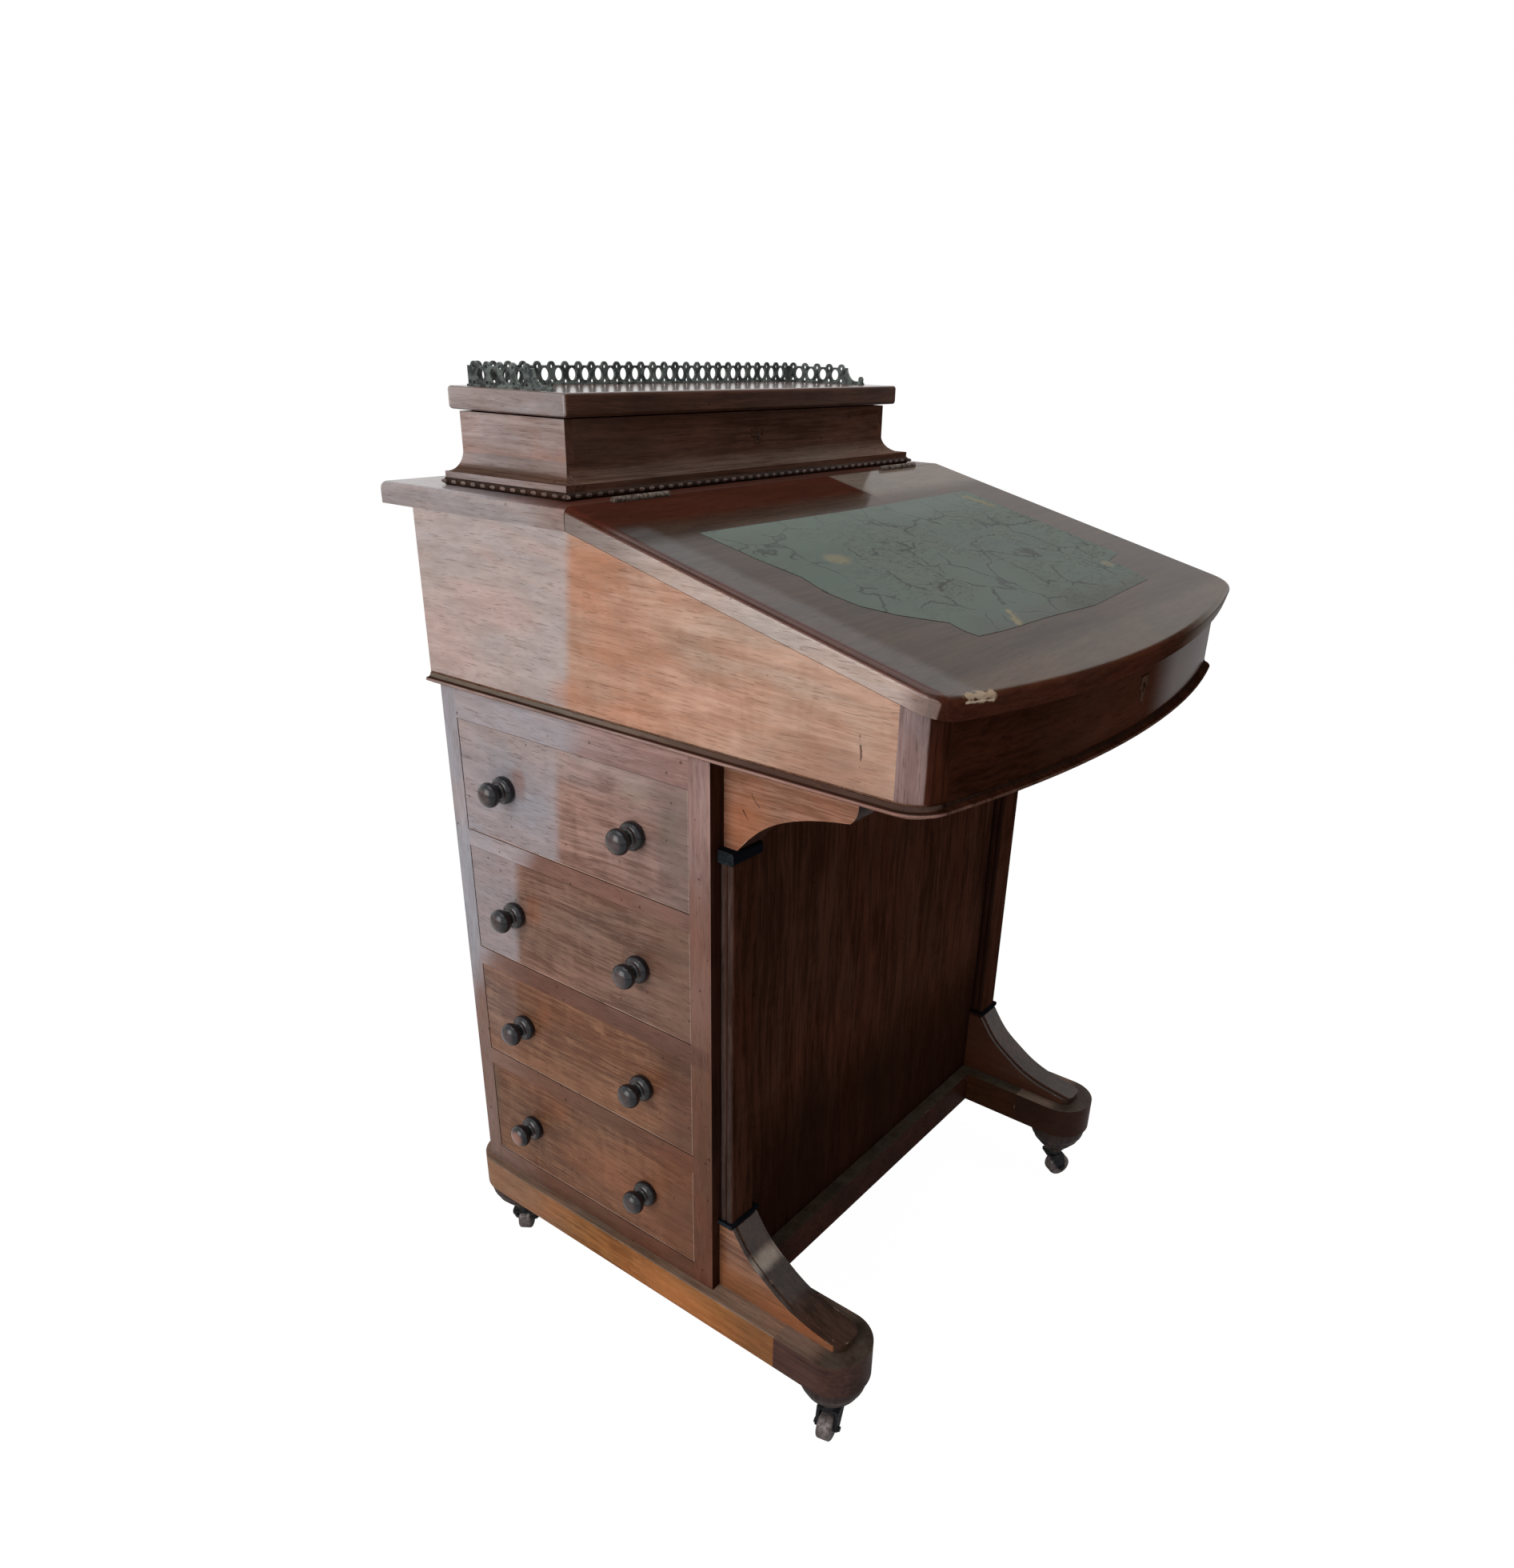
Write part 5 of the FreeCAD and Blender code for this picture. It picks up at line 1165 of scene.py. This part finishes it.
@dataclass
class Pedestal(Assembly):
    """The drawer case, its drawers, panels, pilasters and brackets."""

    # The dark tone is the same mahogany painted darker, as shade on the front faces.
    dark: Tone = shades(36, 18, 12, 58, 32, 23)
    rails: tuple[float, float] = (-0.044, 0.2299)
    face_x: float = -0.2594
    bracket_x: float = -0.2436

    def build(self) -> None:
        """Dresses the pedestal."""
        self._case()
        self._drawers()
        self._trim()
        self._knobs()

    def _case(self) -> None:
        """Dresses the stiles, rails, panels, back and runners."""
        # The frame's left faces are painted lighter as lit: darker towards the bottom and the front, lighter
        # at the rear stile, with a painted sheen on the upper rails and a painted shadow line under the waist
        # moulding.
        left = FaceTone(shades(134, 108, 103, 160, 134, 129), (
            lowered(0.61, 0.12, srgb(118, 86, 75), 0.9), lowered(0.42, 0.08, srgb(108, 76, 60), 0.75),
            Band(UP, 0.358, 0.378, srgb(92, 66, 60), 0.5, 0.003),
            Slab(BACK, 0.14, 0.235, srgb(132, 108, 100), 0.7),
            Slab((0.0, 1.0, 0.56), 0.405, 0.447, srgb(158, 151, 155), 0.92, 0.02),
            Slab((0.0, -1.0, -1.0), -0.42, -0.10, srgb(90, 54, 40), 0.6),
            Band(UP, 0.6352, 0.6400, srgb(64, 52, 50), 0.6, 0.0006)))
        self.dress(Timber("drawer frame mahogany", self.dark, Grain.ALONG_Z, QUIET, roughness=0.45,
                          specular=0.03, faces=(left,), rails=self.rails), "drawer_frame")
        plain = Timber("right side mahogany", shades(88, 54, 40, 124, 82, 62), Grain.ALONG_Z,
                       Figure(1.0, 0.03, 0.4, 0.85, 0.45), specular=0.2)
        self.dress(plain, "pedestal_back")
        self.dress(replace(plain, name="right panel mahogany", rails=self.rails), "right_panel")
        self.dress(replace(plain, name="dummy front mahogany", grain=Grain.ALONG_Y), "dummy_fronts")
        # The kneehole panel is painted dark as the shade in the recess, darker again towards the bottom.
        self.dress(Timber("kneehole mahogany", shades(52, 29, 21, 76, 46, 35), Grain.ALONG_Z,
                          Figure(1.2, 0.02, 0.2, 0.9, 0.4), roughness=0.60, specular=0.0,
                          marks=(lowered(0.31, 0.10, srgb(38, 21, 14), 0.75),)), "kneehole_panel")
        self.dress(Timber("inner pine", shades(120, 92, 60, 158, 126, 88), Grain.ALONG_X, PINE,
                          roughness=0.65, specular=0.1), "pedestal_bottom", "drawer_runners")

    def _spot(self, y: float, z: float, wide: float, tall: float, colour: Colour, *looks: float) -> Patch:
        """A patch on the drawers' face; its looks are strength, soft, ragged and scale."""
        return Patch((self.face_x, y, z), (0.01, wide, tall), colour, *looks)

    def _drawers(self) -> None:
        """Dresses the drawers, each with its own tone painted lighter as lit, stains, painted highlights
        along its lower and front edges, a darker front end and a share of the painted sheen on the rear.
        """
        # The first colour is the lilac grey of the painted sheen; the second, on spots beside the rear knobs,
        # is an orange tone with the knobs' painted shadow.
        sheen_lilac, glow, green = srgb(152, 145, 149), srgb(134, 86, 64), srgb(104, 104, 84)
        spot, light, shut, lip = self._spot, srgb(172, 146, 132), -0.0440, 0.0016
        drawers = (
            (shades(116, 88, 78, 152, 122, 112), painted_sheen(0.85, sheen_lilac, 0.012), 0.5010, srgb(116, 96, 89),
             (spot(0.0458, 0.5933, 0.012, 0.009, srgb(84, 52, 40), 0.45, 0.5, 0.5),
              spot(0.0103, 0.5919, 0.016, 0.010, green, 0.35, 0.6, 0.6),
              spot(-0.024, 0.5672, 0.010, 0.016, green, 0.45, 0.6, 0.6),
              spot(0.1544, 0.5640, 0.009, 0.013, glow, 0.45, 0.6, 0.6),
              Slab(UP, 0.572, 0.602, srgb(160, 143, 138), 0.6, 0.01))),
            (shades(98, 70, 58, 130, 100, 86), painted_sheen(0.75, sheen_lilac, 0.066), 0.3775, srgb(116, 86, 72),
             (spot(0.1466, 0.4429, 0.009, 0.014, glow, 0.45, 0.6, 0.6),)),
            (shades(102, 67, 49, 135, 98, 75), painted_sheen(0.12, sheen_lilac, 0.070), 0.2602, srgb(86, 58, 47),
             (spot(0.1415, 0.3323, 0.009, 0.014, glow, 0.4, 0.6, 0.6),
              lowered(0.300, 0.04, srgb(134, 94, 70), 0.5))),
            (shades(96, 63, 46, 127, 89, 67), painted_sheen(0.6, srgb(100, 82, 68), 0.100), 0.1360, srgb(102, 66, 48),
             (spot(0.1323, 0.2250, 0.010, 0.014, glow, 0.4, 0.6, 0.6),
              spot(0.0500, 0.1750, 0.060, 0.030, srgb(146, 98, 72), 0.4, 0.8, 0.5, 30.0))))
        for index, (tone, sheen, low, end, own) in enumerate(drawers, start=1):
            # Painted highlights along the lower and front edges, and a darker front end.
            wear_and_painted_light = (Band(UP, low, low + lip, light, 0.55, 0.0004),
                    Slab(FRONT, -0.012, 0.028, end, 0.7, 0.01),
                    Band(BACK, shut, shut + lip, light, 0.35, 0.0004))
            self.dress(Timber(f"drawer {index} mahogany", shades(92, 62, 46, 126, 92, 70), Grain.ALONG_Y,
                              Figure(1.0 + 0.13 * index, 0.03, 0.5, 1.05, 0.60), specular=0.12,
                              faces=(FaceTone(tone, (sheen, *own, *wear_and_painted_light)),)), f"drawer_{index}_front")
            self.dress(Timber(f"drawer {index} pine", shades(150, 122, 84, 186, 158, 116), Grain.ALONG_X,
                              PINE, roughness=0.6, specular=0.15), f"drawer_{index}_box")

    def _trim(self) -> None:
        """Dresses the pilasters, their caps and the brackets."""
        shaded = Slab(RIGHT, 0.0, 0.02, srgb(44, 24, 17), 0.92)
        # The reeds' left faces are painted lighter as lit.
        reed = FaceTone(shades(54, 39, 34, 78, 62, 57), (shaded,), 0.6, 0.95)
        self.dress(Timber("reeded pilaster mahogany", shades(46, 25, 17, 72, 42, 31), Grain.ALONG_Z,
                          specular=0.0, roughness=0.5, faces=(reed,)), "pilasters")
        x, crack = self.bracket_x, srgb(60, 38, 30)
        # The bracket's left face is painted lighter as lit.
        bracket = FaceTone(shades(132, 90, 70, 172, 130, 110), (
            shaded, Patch((x, -0.088, 0.585), (0.01, 0.020, 0.030), srgb(160, 98, 66), 0.6, 0.8, 0.4, 40.0),
            Crack((x, -0.0849, 0.597), (x, -0.0889, 0.5897), 0.0012, crack, 0.9),
            Crack((x, -0.094, 0.612), (x, -0.100, 0.603), 0.0010, crack, 0.7)))
        self.dress(Timber("knee bracket mahogany", self.dark, Grain.ALONG_Y,
                          Figure(1.0, 0.03, 0.4, 0.9, 0.45), roughness=0.45, specular=0.06, faces=(bracket,),
                          edge=srgb(190, 164, 140)), "knee_brackets")
        # The cap's left faces are painted lighter as lit.
        cap = FaceTone(shades(24, 26, 28, 46, 51, 54), (shaded,))
        self.dress(replace(self._ebony(), name="ebonised cap", specular=0.0, coat=0.0, faces=(cap,),
                           edge=srgb(56, 60, 63), edge_amount=0.2), "pilaster_caps")

    @staticmethod
    def _ebony() -> Timber:
        """The finish of the knobs and the caps."""
        return Timber("ebonised wood", shades(14, 15, 19, 26, 27, 33), Grain.ALONG_X,
                      Figure(1.0, 0.01, 0.0, 0.6, 0.2), roughness=0.26, specular=0.28, coat=0.34,
                      coat_roughness=0.08, clouds=0.0)

    def _knobs(self) -> None:
        """Dresses the knobs; those of the drawers carry a painted warm reflection on their left faces, and
        one of them an orange patch.
        """
        ebony = self._ebony()
        # A painted warm reflection on the knobs' left faces.
        painted_reflection = FaceTone(shades(42, 34, 35, 78, 61, 58), low=0.70, high=1.0)
        # An orange patch on one knob of the lowest drawer.
        orange_patch = Patch((-0.290, 0.1705, 0.186), (0.022, 0.013, 0.012), srgb(150, 104, 88), 0.8, 0.4, 0.3)
        self.dress(ebony, "dummy_knobs")
        self.dress(replace(ebony, name="handled knob", faces=(painted_reflection,)), "drawer_1_knobs", "drawer_2_knobs",
                   "drawer_3_knobs")
        self.dress(replace(ebony, name="bared knob", faces=(replace(painted_reflection, marks=(orange_patch,)),)),
                   "drawer_4_knobs")


@dataclass
class Base(Assembly):
    """The base rails, scroll feet, pads and casters."""

    # The dark tone is the same mahogany painted darker, as shade on the front faces.
    dark: Tone = shades(42, 21, 15, 64, 36, 27)
    dirt: Colour = srgb(112, 104, 92)
    corners: tuple[str, ...] = ("front_left", "front_right", "rear_left", "rear_right")

    def build(self) -> None:
        """Dresses the base."""
        self._rails()
        self._feet()
        self._casters()

    def _rails(self) -> None:
        """Dresses the base rails and the toe blocks."""
        shaded = Slab(RIGHT, 0.0, 0.02, srgb(48, 26, 17), 0.92)
        # The rails' left faces are painted lighter as lit, lighter and greyer towards the rear and darker
        # towards the front.
        side = FaceTone(shades(120, 75, 42, 160, 106, 63), (
            Slab(BACK, 0.08, 0.20, srgb(138, 106, 88), 0.7), Slab(FRONT, 0.07, 0.13, srgb(116, 80, 54), 0.7),
            Patch((-0.269, -0.025, 0.098), (0.01, 0.050, 0.030), srgb(172, 114, 70), 0.75, 0.8, 0.4, 30.0),
            shaded))
        # Their tops are lighter as lit from above, with a pale line along the outer edge and dark on the
        # inner part.
        top = FaceTone(shades(112, 84, 68, 144, 114, 96), (
            Band(RIGHT, -0.2690, -0.2675, srgb(176, 156, 138), 0.6, 0.0003),
            Slab(RIGHT, -0.216, -0.206, srgb(50, 42, 33), 0.9)), facing=Facing.UP)
        self.dress(Timber("base rail mahogany", self.dark, Grain.ALONG_Y, Figure(1.0, 0.03, 0.3, 0.9, 0.45),
                          roughness=0.45, specular=0.02, faces=(side, top), edge=srgb(176, 148, 126),
                          dust=0.35, dust_colour=self.dirt), "base_rails")
        # The toes' tops are lighter as lit from above, dark at the front.
        toe = FaceTone(shades(94, 73, 63, 126, 102, 90), (Slab(FRONT, 0.178, 0.198, srgb(46, 31, 25), 0.92),),
                       facing=Facing.UP)
        # The toes' left faces are painted lighter as lit.
        shade = FaceTone(shades(54, 34, 32, 78, 52, 44), (shaded,), 0.2, 0.7)
        self.dress(Timber("toe mahogany", self.dark, Grain.ALONG_Y, QUIET, roughness=0.40, specular=0.08,
                          faces=(shade, toe), edge=srgb(150, 120, 100), edge_amount=0.3, dust=0.3,
                          dust_colour=self.dirt), "toe_blocks")

    def _feet(self) -> None:
        """Dresses the scroll feet and the pads."""
        # The scrolls' outer left faces are painted lighter as lit, warmer towards the bottom; left-facing
        # faces further in stay dark.
        scroll = FaceTone(shades(96, 60, 42, 148, 102, 76),
                          (lowered(0.158, 0.020, srgb(146, 90, 56), 0.6),
                           Slab(RIGHT, -0.2490, -0.2482, srgb(58, 41, 34), 0.95),
                           Slab(RIGHT, 0.0, 0.02, srgb(80, 46, 32), 0.92)), 0.90, 0.98)
        # A painted highlight on the scroll's top.
        pale = Patch((-0.232, -0.1065, 0.1575), (0.034, 0.0075, 0.010), srgb(176, 158, 144), 0.75, 0.6, 0.3,
                     60.0)
        self.dress(Timber("scroll foot mahogany", shades(42, 28, 22, 72, 52, 43), Grain.ALONG_Y,
                          Figure(1.0, 0.03, 0.3, 0.8, 0.45), roughness=0.34, specular=0.15, coat=0.3,
                          coat_roughness=0.14, faces=(scroll,), marks=(pale,), edge=srgb(184, 160, 140)),
                   "foot_scrolls")
        self.dress(Timber("turned pad mahogany", shades(38, 27, 24, 64, 50, 46), Grain.ALONG_Z,
                          roughness=0.4, specular=0.15), "foot_pads")

    def _casters(self) -> None:
        """Dresses the horns, the wheels and the sockets."""
        iron = Metal("caster iron", srgb(40, 40, 43), srgb(20, 20, 23), metallic=0.5, roughness=0.5,
                     mottle=260.0, specular=0.3)
        brass = replace(iron, name="caster brass", bright=srgb(120, 110, 108), dull=srgb(84, 76, 74),
                        metallic=0.4, specular=0.4)
        self.dress(iron, *(f"caster_fork_{corner}" for corner in self.corners))
        self.dress(brass, *(f"caster_wheel_{corner}" for corner in self.corners))
        self.dress(Metal("socket brass", srgb(92, 78, 56), srgb(58, 50, 40), metallic=0.7, roughness=0.45,
                         mottle=260.0), "caster_sockets")


@dataclass
class Hardware(Assembly):
    """Hinges, locks and escutcheons."""

    def build(self) -> None:
        """Dresses the small metal parts."""
        self.dress(Metal("dull hinge brass", srgb(112, 100, 92), srgb(60, 48, 42), metallic=0.25,
                         roughness=0.6, mottle=300.0, specular=0.1),
                   "fixed_hinge_leaves", "slope_hinge_leaves", "stationery_hinge_leaves")
        self.dress(Metal("dark escutcheon brass", srgb(98, 72, 57), srgb(64, 43, 33), metallic=0.0,
                         roughness=0.6, mottle=300.0, specular=0.0), "keyhole_escutcheons")
        self.dress(Metal("lock steel", srgb(128, 124, 118), srgb(88, 84, 80), roughness=0.4, mottle=200.0),
                   "slope_lock_bolt", "stationery_lock_bolt", "slope_link_plate", "stationery_link_plate",
                   "lock_cases")


# ---------------------------------------------------------------- studio
@dataclass
class Studio:
    """Plain pale floor, soft lamps and the camera."""

    eye: Point = (-0.8608, -0.5877, 0.9148)
    heading: float = 53.3
    dip: float = -25.58
    roll: float = 1.55
    focal_share: float = 1422.2 / 1960
    shift: tuple[float, float] = (-(983.8 - 946.5) / 1960, (1108.3 - 980.0) / 1960)
    sensor: float = 24.0
    aim: Point = (0.0, 0.0, 0.5)
    floor_reach: float = 8.0
    floor_grey: Colour = (0.88, 0.88, 0.88, 1.0)
    floor_glow: float = 1.057
    floor_share: float = 0.93
    ambient: float = 0.29
    lamps: tuple = (("left window", (-2.3, 0.25, 1.35), 1.5, 30.0), ("overhead", (0.1, -0.1, 3.0), 2.4, 34.0))

    def build(self) -> None:
        """Makes the floor, the world, the lamps and the camera."""
        self._floor()
        self._world()
        for name, place, size, power in self.lamps:
            self._lamp(name, place, size, power)
        self._camera()
        bpy.context.scene.view_settings.view_transform = "Standard"

    def _floor(self) -> None:
        """Makes the floor: white to the camera, with a faint shadow."""
        mesh = bpy.data.meshes.new("floor")
        far = self.floor_reach
        mesh.from_pydata([(-far, -far, 0), (far, -far, 0), (far, far, 0), (-far, far, 0)], [], [(0, 1, 2, 3)])
        floor = bpy.data.objects.new("floor", mesh)
        bpy.context.scene.collection.objects.link(floor)
        material = bpy.data.materials.new("pale floor")
        graph = Graph(emptied(material))
        matt = graph.add("ShaderNodeBsdfDiffuse", {"Color": self.floor_grey})
        glow = graph.add("ShaderNodeEmission", {"Strength": self.floor_glow})
        rays = graph.add("ShaderNodeLightPath")
        share = graph.times(rays.outputs["Is Camera Ray"], self.floor_share)
        blend = graph.add("ShaderNodeMixShader", {0: share, 1: matt.outputs[0], 2: glow.outputs[0]})
        graph.add("ShaderNodeOutputMaterial", {"Surface": blend.outputs[0]})
        mesh.materials.append(material)

    def _world(self) -> None:
        """Makes the world: white to the camera and in reflections, dimmer as a lamp."""
        world = bpy.data.worlds.new("studio")
        bpy.context.scene.world = world
        graph = Graph(emptied(world))
        rays = graph.add("ShaderNodeLightPath").outputs
        seen = graph.plus(rays["Is Camera Ray"], rays["Is Glossy Ray"], clamp=True)
        seen = graph.plus(seen, rays["Is Transmission Ray"], clamp=True)
        strength = graph.plus(self.ambient, graph.times(seen, 1.0 - self.ambient))
        sky = graph.add("ShaderNodeBackground", {"Color": (1.0, 1.0, 1.0, 1.0), "Strength": strength})
        graph.add("ShaderNodeOutputWorld", {"Surface": sky.outputs[0]})

    def _lamp(self, name: str, place: Point, size: float, power: float) -> None:
        """Adds one square lamp aimed at the middle of the desk.

        Args:
            name: Name of the lamp.
            place: Its middle.
            size: Its side.
            power: Its power in watts.
        """
        data = bpy.data.lights.new(name, "AREA")
        data.size = size
        data.energy = power
        lamp = bpy.data.objects.new(name, data)
        lamp.location = place
        lamp.rotation_euler = (Vector(self.aim) - Vector(place)).to_track_quat("-Z", "Y").to_euler()
        bpy.context.scene.collection.objects.link(lamp)

    def _camera(self) -> None:
        """Adds the camera at the sitter's left."""
        yaw, pitch, roll = (math.radians(angle) for angle in (self.heading, self.dip, self.roll))
        ahead = Vector((math.sin(yaw) * math.cos(pitch), math.cos(yaw) * math.cos(pitch), math.sin(pitch)))
        level = Vector((math.cos(yaw), -math.sin(yaw), 0.0))
        upright = level.cross(ahead)
        right = math.cos(roll) * level + math.sin(roll) * upright
        over = -math.sin(roll) * level + math.cos(roll) * upright
        data = bpy.data.cameras.new("camera")
        data.sensor_fit = "VERTICAL"
        data.sensor_height = self.sensor
        data.lens = self.focal_share * self.sensor
        data.shift_x, data.shift_y = self.shift
        data.clip_start, data.clip_end = 0.01, 50.0
        camera = bpy.data.objects.new("camera", data)
        turn = Matrix((right, over, -ahead)).transposed().to_4x4()
        camera.matrix_world = Matrix.Translation(self.eye) @ turn
        bpy.context.scene.collection.objects.link(camera)
        bpy.context.scene.camera = camera


def main() -> None:
    """Builds the studio and every sub-assembly."""
    logging.basicConfig(level=logging.INFO, format="%(name)s: %(message)s")
    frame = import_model()
    effects = Effects()
    Studio().build()
    for kind in (WritingBox, StationeryBox, Pedestal, Base, Hardware):
        kind(frame, effects).build()


if __name__ == "__main__":
    main()
